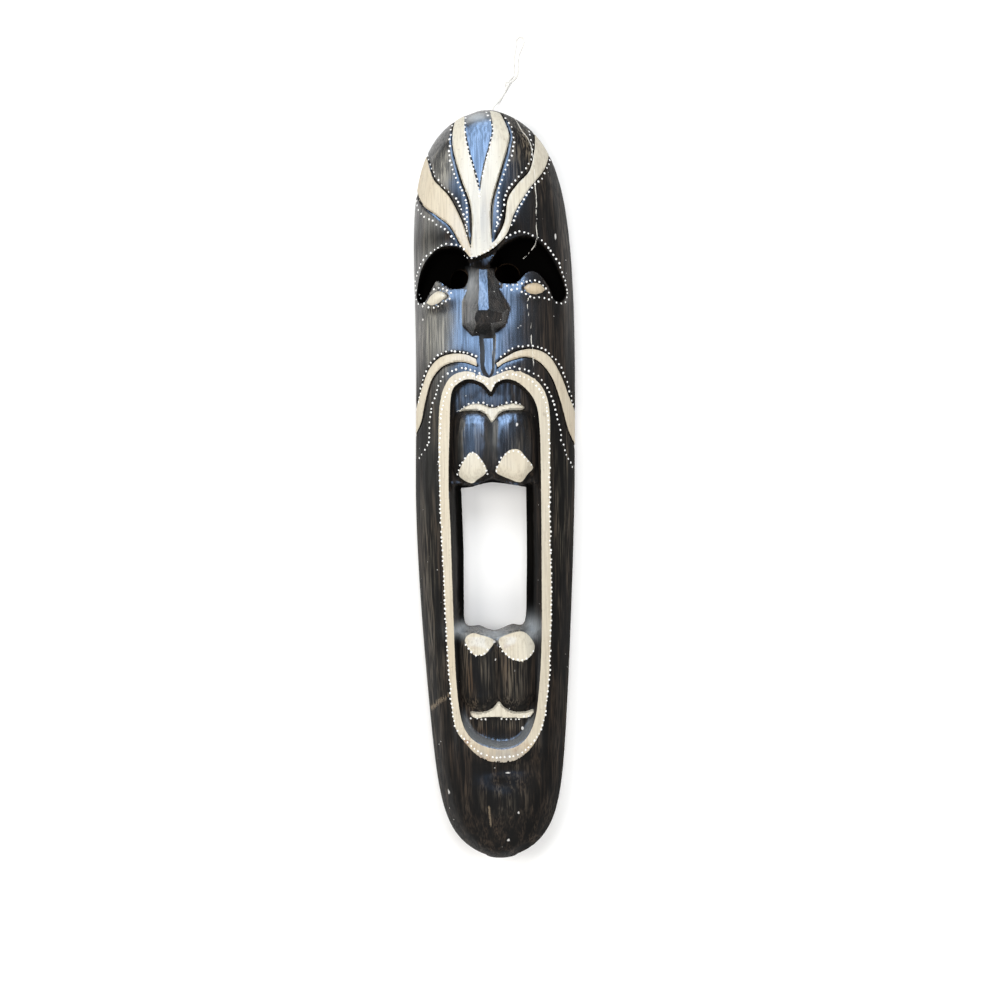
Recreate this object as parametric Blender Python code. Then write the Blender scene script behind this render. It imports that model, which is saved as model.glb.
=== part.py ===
"""A long carved wooden wall mask, lying on its back, with its hanging cord.

The mask is one solid: the front is a halved log with the face cut into it, the back is hollowed inside
a flat rim. +Y is the top of the head, +X the viewer's right and +Z points out of the face. Metres.
"""

import math

import bmesh
import bpy
import numpy as np
from mathutils import Matrix, Vector

# The block that the mask is cut from
LENGTH = 0.990
WIDTH = 0.213
CROWN = 0.078
SIDE_EDGE = 0.016
TOP_END_CROWN = 0.035
TOP_ROUND = 0.062
CHIN_END_CROWN = 0.034
CHIN_ROUND = 0.110

# The hollow in the back
RIM_WIDTH = 0.013
END_RIM = 0.030
WALL = 0.017
CARVED_WALL = 0.009
THINNEST_WALL = 0.005
GOUGE_SLOPE = 0.022

# The carving
SOCKET_DEPTH = 0.034
SOCKET_TAIL_DEPTH = 0.013
SOCKET_LIP = 0.008
EYEBALL_RISE = 0.0036
EYEBALL_ROUND = 0.006
EYEBALL_LINE = 0.003
LID_RISE = 0.005
NOSE_RISE = 0.022
BRIDGE_DEPTH = 0.012
BROW_STEP = 0.004
PHILTRUM_DEPTH = 0.0045
GROOVE_DEPTH = 0.0026
GROOVE_BEVEL = 0.0062
GROOVE_WALL = 0.0012
WEDGE_DEPTH = 0.0016
MOUTH_DEPTH = 0.015
MOUTH_LIP = 0.0045
LOW_MOUTH_LIP = 0.0100
TOOTH_RISE = 0.011
TOOTH_ROUND = 0.019
GUM_RISE = 0.007
GUM_EDGE = 0.0016
OPENING_DEPTH = 0.046
CHIN_SCOOP = 0.011
CHIN_BULGE = 0.004

# The cord
CORD_DIAMETER = 0.0025
CORD_HOLE_DIAMETER = 0.0045
CORD_HOLE_DEPTH = 0.016
CORD_HOLE_HEIGHT = 0.012
KNOT_RADIUS = 0.0050

# How closely the surface is worked before the plain parts are simplified
ROWS = 331
COLUMNS = 109
TRIANGLES = 7500
PULL_TO_EDGE = 0.0015

# The carving's outlines are drawn in the pixels of a square picture, 1000 a side, taken from in front.
# The eye is this far from the back of the mask, over this place, and the picture is turned by this.
DRAWN_LENGTH = 0.990
DRAWN_WIDTH = 0.213
EYE_HEIGHT = 1.65
EYE_X = 0.0037
EYE_Y = -0.0212
PICTURE_TURN = math.radians(-1.3)
PICTURE_MIDDLE = 500.0
PIXELS_PER_UNIT = 1218.3

# The outline of the block in front view, as shares
TOP_POWER = 7.5
CHIN_POWER = 14
CHIN_TAPER = 0.29
CHIN_TAPER_POWER = 1.5
END_HALF_WIDTH = 0.20
BOW = 0.032
BOW_AT = 0.42
BOW_SPREAD = 0.42
LEAN = -0.0221

# Forehead: the edges of the four cream bands that fan out from the brow, each from the top down
WEDGE_LEFT = [(465, 109), (464.6, 130), (468.2, 151), (473.3, 169), (479.6, 193.8)]
WEDGE_RIGHT = [(489, 109), (493.2, 128), (490.6, 143.4), (484.2, 167), (479.6, 193.8)]
INNER_LEFT = [
    (458, 112), (452.8, 130), (453.3, 149.7), (460.6, 176.5), (469.8, 202.3), (472, 223), (471.2, 246),
]
INNER_RIGHT = [
    (500, 113), (508.7, 131.9), (507.5, 146), (498.5, 176.5), (492.1, 199.5), (490.6, 216), (491.5, 238),
]
LEAF_UPPER = [(425, 150), (431.9, 175.6), (440.3, 186.8), (450.2, 198), (462.8, 223.3), (470.5, 247.9)]
LEAF_LOWER = [(414, 180), (420.7, 202.3), (436.1, 214.9), (450.2, 226.1), (461.4, 245.7), (469.8, 257)]
OUTER_UPPER = [
    (534.2, 130), (534.8, 147), (529.7, 170.2), (518.3, 182.9), (508.1, 198.2), (504.5, 222), (496.5, 238.7),
]
OUTER_LOWER = [
    (550, 150), (544.4, 168.9), (528.5, 189.3), (514.7, 212), (506.3, 234.5), (492.2, 248.5), (481, 254.2),
]
BROW_EDGE = [(464, 256), (472, 257.5), (481, 254.5), (490, 250.5), (499, 243)]

# Eyes
LEFT_SOCKET = [
    (416.5, 294), (418.5, 302.5), (424, 302.8), (429.5, 294), (433.8, 285), (438.5, 281.2), (450, 288.5),
    (461, 288.8), (467.8, 284), (470, 273), (468.8, 259), (461, 248.3), (450.9, 245.8), (439, 248),
    (428, 258), (420.5, 272),
]
RIGHT_SOCKET = [
    (490, 265.5), (493.5, 254.5), (505, 242.5), (519.5, 235.7), (532.3, 236.1), (545, 245.5), (556, 262),
    (564, 280), (567.2, 294), (561, 302.6), (553, 299), (547.6, 285.5), (538, 273.4), (528, 272),
    (516, 282.5), (502, 282.8), (494.5, 273),
]
LEFT_HOLE = (458.8, 276.2, 9.6, 12.6)
RIGHT_HOLE = (507.3, 270.8, 13.2, 13.0)
LEFT_EYEBALL = (437.0, 298.2, 10.4, 6.0, -17)
RIGHT_EYEBALL = (534.2, 289.0, 10.6, 5.6, 6)

# Nose: flat chisel facets, each through three points with their heights as shares of the nose's rise
NOSE_FACETS = [
    [(469, 266, -0.45), (491, 266, -0.45), (482, 269.5, 0.08)],
    [(484, 268, 0.04), (483, 296.5, 0.66), (487, 296.5, 0.66)],
    [(482, 296.5, 0.66), (481, 312.5, 1.0), (487, 312.5, 1.0)],
    [(479.2, 268, 0.04), (478.9, 296.5, 0.66), (465.5, 306, 0.10)],
    [(487.0, 268, 0.04), (488.1, 296.5, 0.66), (507, 309, 0.08)],
    [(477.2, 313, 1.0), (487.7, 313, 1.0), (483, 324.5, 0.66)],
    [(470.5, 305.5, 0.46), (477.2, 313, 1.0), (471.6, 321.4, 0.52)],
    [(488.7, 312, 1.0), (504, 316, 0.34), (496, 324, 0.50)],
    [(460.6, 314, -0.10), (463.6, 324.5, -0.10), (465.6, 315, 0.34)],
    [(463.6, 324.5, -0.10), (469.6, 332, -0.10), (471.5, 322, 0.50)],
    [(473, 335.3, -0.06), (490, 335.6, -0.06), (481, 326, 0.62)],
    [(495, 334, -0.08), (504, 327, -0.10), (495, 324.5, 0.50)],
    [(507, 322, -0.10), (509.6, 311.5, -0.12), (503, 316, 0.34)],
]
PHILTRUM = [
    (479.8, 330), (479.8, 350), (480.2, 366), (482.5, 374), (487, 378), (491, 377.5), (494, 372), (495, 360),
    (494.8, 330),
]

# Moustache: two bands, each with an upper and a lower edge from the middle outwards
LEFT_LIP_UPPER = [
    (476, 359), (466, 354.5), (453.3, 353.6), (440, 357.5), (429.5, 368.5), (423, 384.5), (416, 411),
]
LEFT_LIP_LOWER = [
    (477, 366), (465.4, 362), (454, 362), (442, 366.8), (431.5, 379.7), (425.5, 400), (421, 422), (416, 434),
]
RIGHT_LIP_UPPER = [
    (496, 363.5), (504.2, 358), (518.7, 350.6), (535.7, 349.4), (550.2, 357.3), (561.2, 376), (570, 399),
    (577, 416),
]
RIGHT_LIP_LOWER = [
    (498, 367), (506.6, 361.5), (526, 356.7), (540.6, 362.7), (552.7, 378.5), (561.2, 402.7), (568.4, 429.4),
    (577, 449),
]

# Mouth: the outer and the inner edge of its cream border, clockwise from the notch
BORDER_OUTER = [
    (489, 378), (497, 374.6), (511.5, 370), (529, 375.5), (543, 388.2), (549.3, 410), (550, 450),
    (549.9, 520), (551.5, 600), (549.6, 666), (546.6, 703), (541.8, 728), (531, 748), (517, 759.5),
    (499.4, 762.4), (481, 758), (465.4, 743), (455, 726), (450.3, 691), (447.3, 648), (443.8, 580),
    (440, 503), (438.5, 440), (440.5, 400), (449.7, 378), (465.4, 371.2), (479, 374.6),
]
BORDER_INNER = [
    (490.9, 392.4), (496.5, 382.5), (508, 379), (521.2, 384.5), (534.5, 400.3), (539.6, 425), (541.2, 487),
    (541.7, 560), (541.7, 640), (539, 690), (534.5, 721.2), (524, 741), (508, 749), (489.7, 747.8),
    (472, 739), (461.5, 720), (456.2, 680), (453.3, 615), (450.5, 531), (448.5, 487), (449.3, 435),
    (451, 395), (458, 383.5), (469, 379), (482.4, 383.3),
]
NOTCHES = [(489, 378), (490.9, 392.4)]
UPPER_GUM = [
    (456, 411), (462, 407.8), (472, 402.8), (482, 403.5), (492, 407), (503, 404.5), (514, 402.7),
    (524, 405.5), (522, 408.8), (507, 409.6), (499, 413), (492, 421.5), (486, 413.8), (478, 410),
    (465, 409.8),
]
LOWER_GUM = [
    (470.5, 713.5), (479, 714), (488, 712.4), (494, 708.5), (498.8, 703), (504, 708.5), (512, 712.8),
    (523, 713.6), (534, 711), (530, 718.5), (514, 720), (494, 719), (474, 719.5),
]
UPPER_LEFT_TOOTH = [
    (450.5, 430), (455, 414), (466, 409), (480, 409.5), (491, 415), (496, 428), (496.5, 450), (494, 471),
    (485, 479), (470.5, 485), (459, 480.5), (452, 470), (450, 450),
]
UPPER_RIGHT_TOOTH = [
    (487.5, 428), (492, 415), (505, 409), (520, 408), (533, 413), (539, 430), (539.8, 452), (537, 470),
    (528, 481), (519, 485), (504, 480), (490.5, 472), (487, 450),
]
LOWER_LEFT_TOOTH = [
    (455, 646), (460, 636.5), (469, 633), (482, 635), (495, 640), (502, 650), (503, 676), (502, 700),
    (492, 709), (479.5, 712.5), (465, 707), (458.5, 694), (455.8, 670),
]
LOWER_RIGHT_TOOTH = [
    (494, 650), (496, 642), (506, 634), (520, 630.8), (532, 635.5), (538.5, 647), (539.2, 672), (537.5, 696),
    (529, 709), (517.5, 713.5), (504, 708.5), (495, 700), (493.5, 676),
]
DEEP = [
    (450, 486), (456, 481.5), (464, 483.5), (471, 485), (480, 482.5), (490.5, 475.5), (497, 477.5),
    (507, 482), (518, 485), (527, 482.5), (535, 478), (540, 490), (541, 540), (541, 600), (538, 640),
    (531, 634.5), (521, 630), (507, 633.5), (496, 640), (487, 637.5), (470, 632.5), (458, 636),
    (453.6, 615), (451, 540),
]
OPENING = [
    (459.8, 487.5), (470, 486.6), (479, 484), (491, 481.8), (507, 483.3), (527, 486.5), (527.7, 540),
    (527.5, 585), (525.6, 625.5), (512.3, 628.2), (504, 631.5), (495.4, 634.5), (487, 633), (478.6, 629.6),
    (464.5, 628), (462.6, 602), (462.2, 550),
]
LEFT_HOLE_CORNER, RIGHT_HOLE_CORNER = (449, 258), (520, 289)
GULLET_TOP, GULLET_BOTTOM = (460, 482), (528, 630)
MOUTH_TOP, MOUTH_BOTTOM = (450, 385), (541, 748)
CHIN_SCOOP_AT = (508.5, 770.0, 31.0, 15.0)
CHIN_BULGE_AT = (509.0, 806.0, 34.0, 20.0)
SPAN_STEPS = 4

# The cord's route, chosen by hand: out of the hole, down on to the surface, up to the knot, and its loop
CORD_TAIL = [
    (0.0055, 0.4845, 0.0120), (0.0055, 0.4900, 0.0120), (0.0055, 0.4975, 0.0120), (0.0059, 0.5030, 0.0115),
    (0.0075, 0.5080, 0.0098), (0.0103, 0.5125, 0.0068), (0.0135, 0.5165, 0.0038), (0.0165, 0.5205, 0.0021),
    (0.0192, 0.5247, 0.0015), (0.0217, 0.5285, 0.0015), (0.0237, 0.5318, 0.0018), (0.0251, 0.5348, 0.0026),
]
KNOT_AT = (0.0263, 0.5405)
CORD_LOOP = [
    (0.0311, 0.5440, 0.0026), (0.0343, 0.5462, 0.0018), (0.0375, 0.5492, 0.0015), (0.0400, 0.5532, 0.0014),
    (0.0413, 0.5580, 0.0014), (0.0416, 0.5640, 0.0014), (0.0416, 0.5700, 0.0014), (0.0422, 0.5760, 0.0014),
    (0.0436, 0.5820, 0.0014), (0.0458, 0.5875, 0.0014), (0.0483, 0.5925, 0.0014), (0.0499, 0.5975, 0.0014),
    (0.0489, 0.6023, 0.0014), (0.0447, 0.6045, 0.0014), (0.0407, 0.6020, 0.0014), (0.0392, 0.5965, 0.0014),
    (0.0386, 0.5905, 0.0014), (0.0377, 0.5840, 0.0014), (0.0369, 0.5775, 0.0014), (0.0363, 0.5710, 0.0014),
    (0.0361, 0.5645, 0.0014), (0.0358, 0.5585, 0.0014), (0.0349, 0.5535, 0.0015), (0.0329, 0.5497, 0.0018),
    (0.0304, 0.5472, 0.0023), (0.0285, 0.5460, 0.0027),
]


def clear_scene():
    for thing in list(bpy.data.objects):
        bpy.data.objects.remove(thing, do_unlink=True)


def clamp(value):
    return np.clip(value, 0.0, 1.0)


def ease(value):
    """A soft step from 0 to 1."""
    value = clamp(value)
    return value * value * (3 - 2 * value)


def bell(x, y, place, spread_x, spread_y):
    """A soft round rise, 1 at its middle."""
    return np.exp(-(((x - place[0]) / spread_x) ** 2) - ((y - place[1]) / spread_y) ** 2)


def half_width(y):
    """Half of the block's width at a height, from its two ends' curves."""
    share = np.asarray(y, float) / (LENGTH / 2)
    top = np.sqrt(1 - np.clip(share, 0, 1) ** TOP_POWER)
    down = np.clip(-share, 0, 1)
    chin = (1 - CHIN_TAPER * down**CHIN_TAPER_POWER) * np.sqrt(1 - down**CHIN_POWER)
    return WIDTH / 2 * np.maximum(np.where(share > 0, top, chin), END_HALF_WIDTH)


def middle(y):
    """The block's own middle line, which bows a little to the viewer's right above the mouth."""
    share = np.asarray(y, float) / (LENGTH / 2)
    return WIDTH * (LEAN + BOW * np.exp(-(((share - BOW_AT) / BOW_SPREAD) ** 2)))


def crown(y):
    """Height of the log's ridge, which rounds down to both ends."""
    y = np.asarray(y, float)
    top = clamp((y - LENGTH / 2 + TOP_ROUND) / TOP_ROUND)
    chin = clamp((-y - LENGTH / 2 + CHIN_ROUND) / CHIN_ROUND)
    drop = (CROWN - TOP_END_CROWN) * (1 - np.sqrt(1 - top**2))
    return CROWN - drop - (CROWN - CHIN_END_CROWN) * (1 - np.sqrt(1 - chin**2))


def arch(x, y):
    """Height of the plain log at a place."""
    across = np.clip((x - middle(y)) / half_width(y), -1, 1)
    return SIDE_EDGE + (crown(y) - SIDE_EDGE) * np.sqrt(1 - across**2)


def on_mask(point):
    """The place on the log that a picture point shows, in metres."""
    right = (point[0] - PICTURE_MIDDLE) / PIXELS_PER_UNIT
    up = (PICTURE_MIDDLE - point[1]) / PIXELS_PER_UNIT
    turned_x = right * math.cos(PICTURE_TURN) - up * math.sin(PICTURE_TURN)
    turned_y = right * math.sin(PICTURE_TURN) + up * math.cos(PICTURE_TURN)
    z = CROWN
    for _ in range(12):
        x = (EYE_X + turned_x * (EYE_HEIGHT - z)) * WIDTH / DRAWN_WIDTH
        y = (EYE_Y + turned_y * (EYE_HEIGHT - z)) * LENGTH / DRAWN_LENGTH
        z = (z + float(arch(x, y))) / 2
    return x, y


def pixels(count):
    """A length given in picture pixels, in metres at the crown."""
    return count / PIXELS_PER_UNIT * (EYE_HEIGHT - CROWN) * LENGTH / DRAWN_LENGTH


def curve(points, closed=False, corners=()):
    """A smooth line through the picture points, on the mask, with the corners kept sharp."""
    placed = [Vector(on_mask(p)) for p in points]
    count = len(placed)
    line = []
    for i in range(count if closed else count - 1):
        a, b = placed[i], placed[(i + 1) % count]
        before = placed[i - 1] if closed or i > 0 else a
        after = placed[(i + 2) % count] if closed or i + 2 < count else b
        leave = (b - before) / 2 if points[i] not in corners else (b - a) * 0.9
        arrive = (after - a) / 2 if points[(i + 1) % count] not in corners else (b - a) * 0.9
        for step in range(SPAN_STEPS):
            t = step / SPAN_STEPS
            line.append(
                a * (2 * t**3 - 3 * t**2 + 1) + leave * (t**3 - 2 * t**2 + t)
                + b * (3 * t**2 - 2 * t**3) + arrive * (t**3 - t**2)
            )
    if not closed:
        line.append(placed[-1])
    return np.array([tuple(p) for p in line])


def ellipse(centre_x, centre_y, across, down, turn=0.0, steps=28):
    """An oval given in picture pixels, as a closed line on the mask."""
    slope = math.radians(turn)
    line = []
    for i in range(steps):
        angle = 2 * math.pi * i / steps
        u, v = across * math.cos(angle), down * math.sin(angle)
        seen_x = centre_x + u * math.cos(slope) - v * math.sin(slope)
        seen_y = centre_y + u * math.sin(slope) + v * math.cos(slope)
        line.append(on_mask((seen_x, seen_y)))
    return np.array(line)


def from_line(x, y, line, closed, reach):
    """Distance to a line and the side it is passed on, 1 to its left, and whether a place is inside it."""
    distance = np.full(x.shape, reach)
    side = np.ones(x.shape)
    inside = np.zeros(x.shape, bool)
    near = (x > line[:, 0].min() - reach) & (x < line[:, 0].max() + reach)
    near &= (y > line[:, 1].min() - reach) & (y < line[:, 1].max() + reach)
    px, py = x[near], y[near]
    best, turn, within = np.full(px.shape, reach), np.ones(px.shape), np.zeros(px.shape, bool)
    ends = np.roll(line, -1, axis=0) if closed else line[1:]
    for a, b in zip(line, ends):
        run = b - a
        along = clamp(((px - a[0]) * run[0] + (py - a[1]) * run[1]) / max(run @ run, 1e-12))
        away = np.hypot(px - a[0] - along * run[0], py - a[1] - along * run[1])
        closer = away < best
        best[closer] = away[closer]
        turn[closer] = np.sign(run[0] * (py[closer] - a[1]) - run[1] * (px[closer] - a[0]))
        if closed and a[1] != b[1]:
            within ^= ((a[1] > py) != (b[1] > py)) & (px < a[0] + (py - a[1]) * run[0] / run[1])
    distance[near], side[near], inside[near] = best, turn, within
    return distance, side, inside


def depth_inside(x, y, line, reach=0.03):
    """How far inside a closed line a place is, and less than 0 outside it."""
    distance, _, inside = from_line(x, y, line, True, reach)
    return np.where(inside, distance, -distance)


def groove(x, y, points, bevel_side, depth=GROOVE_DEPTH, fade=0.03):
    """A knife cut along a band's edge: a steep wall on the band and a wide bevel on the other side."""
    line = curve(points)
    distance, side, _ = from_line(x, y, line, False, GROOVE_BEVEL)
    on_bevel = side * bevel_side > 0
    profile = np.where(on_bevel, 1 - distance / GROOVE_BEVEL, 1 - distance / GROOVE_WALL)
    ends = np.minimum(np.hypot(x - line[0][0], y - line[0][1]), np.hypot(x - line[-1][0], y - line[-1][1]))
    return depth * clamp(profile) * (0.35 + 0.65 * clamp(ends / fade))


def pillow(inner, round_over):
    """A rise with quarter round edges, from the depth inside its outline."""
    share = clamp(inner / round_over)
    return np.sqrt(1 - (1 - share) ** 2)


def lobe(inner, round_over):
    """A rise that starts at a slant and rounds to its top, so that two of them meet in a soft valley."""
    return np.sin(clamp(inner / round_over) * math.pi / 2)


def facet(x, y, points):
    """Height over the crown of a flat facet through three picture points."""
    (x1, y1), (x2, y2), (x3, y3) = (on_mask(p) for p in points)
    h1, h2, h3 = (p[2] * NOSE_RISE for p in points)
    span = (x2 - x1) * (y3 - y1) - (x3 - x1) * (y2 - y1)
    slope_x = ((h2 - h1) * (y3 - y1) - (h3 - h1) * (y2 - y1)) / span
    slope_y = ((x2 - x1) * (h3 - h1) - (x3 - x1) * (h2 - h1)) / span
    return h1 + slope_x * (x - x1) + slope_y * (y - y1)


def sockets(x, y):
    """Depth of the two eye hollows, deepest at their holes and shallow at their outer tails."""
    deep = np.zeros(x.shape)
    for outline, hole in ((LEFT_SOCKET, LEFT_HOLE), (RIGHT_SOCKET, RIGHT_HOLE)):
        inner = depth_inside(x, y, curve(outline, closed=True))
        centre = on_mask(hole)
        away = np.hypot(x - centre[0], y - centre[1])
        tail = ease((away - pixels(16)) / pixels(44))
        floor = SOCKET_DEPTH + (SOCKET_TAIL_DEPTH - SOCKET_DEPTH) * tail
        deep = np.maximum(deep, floor * ease(inner / SOCKET_LIP + 0.12) * (inner > 0))
    return deep


def mouth(x, y):
    """Depth of everything inside the mouth's cream border."""
    inner = depth_inside(x, y, curve(BORDER_INNER, closed=True, corners=NOTCHES))
    gap_top, gap_bottom = on_mask((495, 480))[1], on_mask((495, 640))[1]
    in_gap = ease((gap_top - y) / pixels(14)) * ease((y - gap_bottom) / pixels(14))
    low = ease((on_mask((495, 715))[1] - y) / pixels(20))
    deep = MOUTH_DEPTH * ease(inner / (MOUTH_LIP + (LOW_MOUTH_LIP - MOUTH_LIP) * low)) * (1 - in_gap)
    teeth = (UPPER_LEFT_TOOTH, UPPER_RIGHT_TOOTH, LOWER_LEFT_TOOTH, LOWER_RIGHT_TOOTH)
    lobes = [lobe(depth_inside(x, y, curve(tooth, closed=True)), TOOTH_ROUND) for tooth in teeth]
    deep -= TOOTH_RISE * np.max(lobes, axis=0)
    for gum in (UPPER_GUM, LOWER_GUM):
        rise = depth_inside(x, y, curve(gum, closed=True))
        gum_top = MOUTH_DEPTH - GUM_RISE * ease(rise / GUM_EDGE + 0.4)
        deep = np.where(rise > 0, np.minimum(deep, gum_top), deep)
    in_deep = depth_inside(x, y, curve(DEEP, closed=True))
    from_opening = -depth_inside(x, y, curve(OPENING, closed=True, corners=OPENING[:1] + OPENING[5:6]))
    share = clamp(in_deep / np.maximum(in_deep + np.maximum(from_opening, 0), 1e-6))
    deep = np.where(in_deep > 0, np.maximum(deep, OPENING_DEPTH * share), deep)
    return np.where(inner > 0, np.maximum(deep, 0.0), 0.0)


def forms(x, y):
    """Height of the front with its main forms and no knife cuts."""
    z = arch(x, y) - np.maximum(sockets(x, y), mouth(x, y))
    bridge = on_mask((483, 262))
    below_brow = from_line(x, y, curve(BROW_EDGE), False, 0.06)
    under = np.where(below_brow[1] < 0, ease(below_brow[0] / BROW_STEP), 0.0)
    fade = ease((y - on_mask((483, 312))[1]) / pixels(40))
    across = ease(1.9 - np.abs(x - bridge[0]) / pixels(11))
    z -= BRIDGE_DEPTH * under * fade * across
    for eyeball in (LEFT_EYEBALL, RIGHT_EYEBALL):
        centre = on_mask(eyeball)
        inner = depth_inside(x, y, ellipse(*eyeball))
        socket = LEFT_SOCKET if eyeball is LEFT_EYEBALL else RIGHT_SOCKET
        out = depth_inside(x, y, curve(socket, closed=True)) < 0
        z += LID_RISE * bell(x, y, centre, pixels(17), pixels(11)) * out
        line = 0.5 * clamp(1 + inner / EYEBALL_LINE) * (inner < 0)
        z += EYEBALL_RISE * (pillow(inner, EYEBALL_ROUND) - line) * out
    nose = np.min([facet(x, y, points) for points in NOSE_FACETS], axis=0)
    z = np.where(nose > -0.02, np.maximum(z, CROWN + nose), z)
    trough = depth_inside(x, y, curve(PHILTRUM, closed=True))
    z -= np.where(nose < 0, PHILTRUM_DEPTH * ease(trough / 0.003), 0.0)
    outside_lip = depth_inside(x, y, curve(BORDER_OUTER, closed=True, corners=NOTCHES)) < 0
    scoop, bulge = CHIN_SCOOP_AT, CHIN_BULGE_AT
    z -= CHIN_SCOOP * bell(x, y, on_mask(scoop), pixels(scoop[2]), pixels(scoop[3])) * outside_lip
    z += CHIN_BULGE * bell(x, y, on_mask(bulge), pixels(bulge[2]), pixels(bulge[3]))
    return z


def knife_cuts(x, y):
    """Depth of the V grooves that edge the bands, and of the sunk wedge between them."""
    cut = np.zeros(x.shape)
    for points, bevel_side, depth in (
        (INNER_LEFT, -1, GROOVE_DEPTH), (INNER_RIGHT, 1, GROOVE_DEPTH), (LEAF_UPPER, 1, GROOVE_DEPTH),
        (LEAF_LOWER, -1, GROOVE_DEPTH), (OUTER_UPPER, -1, GROOVE_DEPTH * 0.7),
        (OUTER_LOWER, 1, GROOVE_DEPTH / 2),
        (LEFT_LIP_UPPER, -1, GROOVE_DEPTH / 2), (LEFT_LIP_LOWER, 1, GROOVE_DEPTH),
        (RIGHT_LIP_UPPER, 1, GROOVE_DEPTH / 2), (RIGHT_LIP_LOWER, -1, GROOVE_DEPTH),
    ):
        cut = np.maximum(cut, groove(x, y, points, bevel_side, depth))
    wedge = np.concatenate([curve(WEDGE_LEFT), curve(WEDGE_RIGHT)[::-1]])
    return np.maximum(cut, WEDGE_DEPTH * ease(depth_inside(x, y, wedge) / 0.002))


def edges_of_carving():
    """Every outline that the surface changes level or slope at, and whether it is closed."""
    open_ones = (
        WEDGE_LEFT, WEDGE_RIGHT, INNER_LEFT, INNER_RIGHT, LEAF_UPPER, LEAF_LOWER, OUTER_UPPER, OUTER_LOWER,
        BROW_EDGE, LEFT_LIP_UPPER, LEFT_LIP_LOWER, RIGHT_LIP_UPPER, RIGHT_LIP_LOWER,
    )
    found = [(curve(points), False) for points in open_ones]
    found += [(curve(points, closed=True), True) for points in (LEFT_SOCKET, RIGHT_SOCKET, PHILTRUM, DEEP)]
    found += [(curve(points, closed=True), True) for points in (UPPER_GUM, LOWER_GUM)]
    found += [(ellipse(*eyeball), True) for eyeball in (LEFT_EYEBALL, RIGHT_EYEBALL)]
    return found + [(curve(BORDER_INNER, closed=True, corners=NOTCHES), True)]


def pull_to_edges(x, y):
    """Moves the sheet's points that are almost on an outline on to it, so that its edge comes out crisp."""
    best, new_x, new_y = np.full(x.shape, PULL_TO_EDGE), x.copy(), y.copy()
    inner = np.abs(x - middle(y)) < half_width(y) * 0.985
    for line, closed in edges_of_carving():
        near = inner & (x > line[:, 0].min() - PULL_TO_EDGE) & (x < line[:, 0].max() + PULL_TO_EDGE)
        near &= (y > line[:, 1].min() - PULL_TO_EDGE) & (y < line[:, 1].max() + PULL_TO_EDGE)
        px, py, closest, to_x, to_y = x[near], y[near], best[near], new_x[near], new_y[near]
        for a, b in zip(line, np.roll(line, -1, axis=0) if closed else line[1:]):
            run = b - a
            along = clamp(((px - a[0]) * run[0] + (py - a[1]) * run[1]) / max(run @ run, 1e-12))
            at_x, at_y = a[0] + along * run[0], a[1] + along * run[1]
            away = np.hypot(px - at_x, py - at_y)
            closer = away < closest
            closest[closer], to_x[closer], to_y[closer] = away[closer], at_x[closer], at_y[closer]
        best[near], new_x[near], new_y[near] = closest, to_x, to_y
    return new_x, new_y


def front_places(x, y):
    """The carved front: the main forms, and the knife cuts square to the log's surface."""
    z = forms(x, y)
    across = np.clip((x - middle(y)) / half_width(y), -1, 1)
    lean = across / half_width(y)
    rise = np.sqrt(1 - across**2) / (crown(y) - SIDE_EDGE)
    cut = knife_cuts(x, y) / np.hypot(lean, rise)
    return np.stack([x - lean * cut, y, z - rise * cut], axis=-1)


def soft_box(x, y, corner, opposite, margin):
    """1 over a box between two picture points and a margin round it, falling gently to 0 outside."""
    (left, top), (right, bottom) = on_mask(corner), on_mask(opposite)
    beside = np.maximum(left - margin - x, x - right - margin)
    beyond = np.maximum(bottom - margin - y, y - top - margin)
    return ease(1 - beside / GOUGE_SLOPE) * ease(1 - beyond / GOUGE_SLOPE)


def thicker(x, y):
    """How much more than the plain wall is left behind the eyes and the mouth, which are cut deep."""
    extra = np.zeros(x.shape)
    for corner, opposite, margin, depth in (
        (LEFT_HOLE_CORNER, RIGHT_HOLE_CORNER, 0.012, SOCKET_DEPTH),
        (GULLET_TOP, GULLET_BOTTOM, 0.004, OPENING_DEPTH),
        (MOUTH_TOP, MOUTH_BOTTOM, 0.0, MOUTH_DEPTH),
    ):
        needed = max(depth + CARVED_WALL - WALL, 0.0)
        extra = np.maximum(extra, needed * soft_box(x, y, corner, opposite, margin))
    return extra


def back_places(y, across):
    """The back: a flat rim, and inside it a hollow that follows the front at a wall's thickness."""
    reach = LENGTH / 2 - END_RIM
    ends = np.sqrt(1 - np.minimum(np.abs(y) / reach, 1) ** 8)
    half = half_width(y)
    hollow_half = (half - RIM_WIDTH) * (0.35 + 0.65 * ends)
    x = middle(y) + hollow_half * across
    outer = np.abs(across) > 1
    x = np.where(outer, middle(y) + half * np.sign(across), x)
    z = (crown(y) - WALL) * ends * np.sqrt(1 - np.minimum(np.abs(across), 1) ** 2)
    z = np.minimum(z - thicker(x, y), forms(x, y) - THINNEST_WALL)
    return np.stack([x, y, np.where(outer, 0.0, np.maximum(z, 0.0))], axis=-1)


def material(name, colour, roughness):
    made = bpy.data.materials.new(name)
    made.use_nodes = True
    shader = made.node_tree.nodes["Principled BSDF"]
    shader.inputs["Base Color"].default_value = (*colour, 1.0)
    shader.inputs["Roughness"].default_value = roughness
    return made


def show(name, data, made, hidden=False):
    thing = bpy.data.objects.new(name, data)
    bpy.context.scene.collection.objects.link(thing)
    data.materials.append(made)
    if hidden:
        thing.hide_render = True
        thing.display_type = "WIRE"
    return thing


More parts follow.
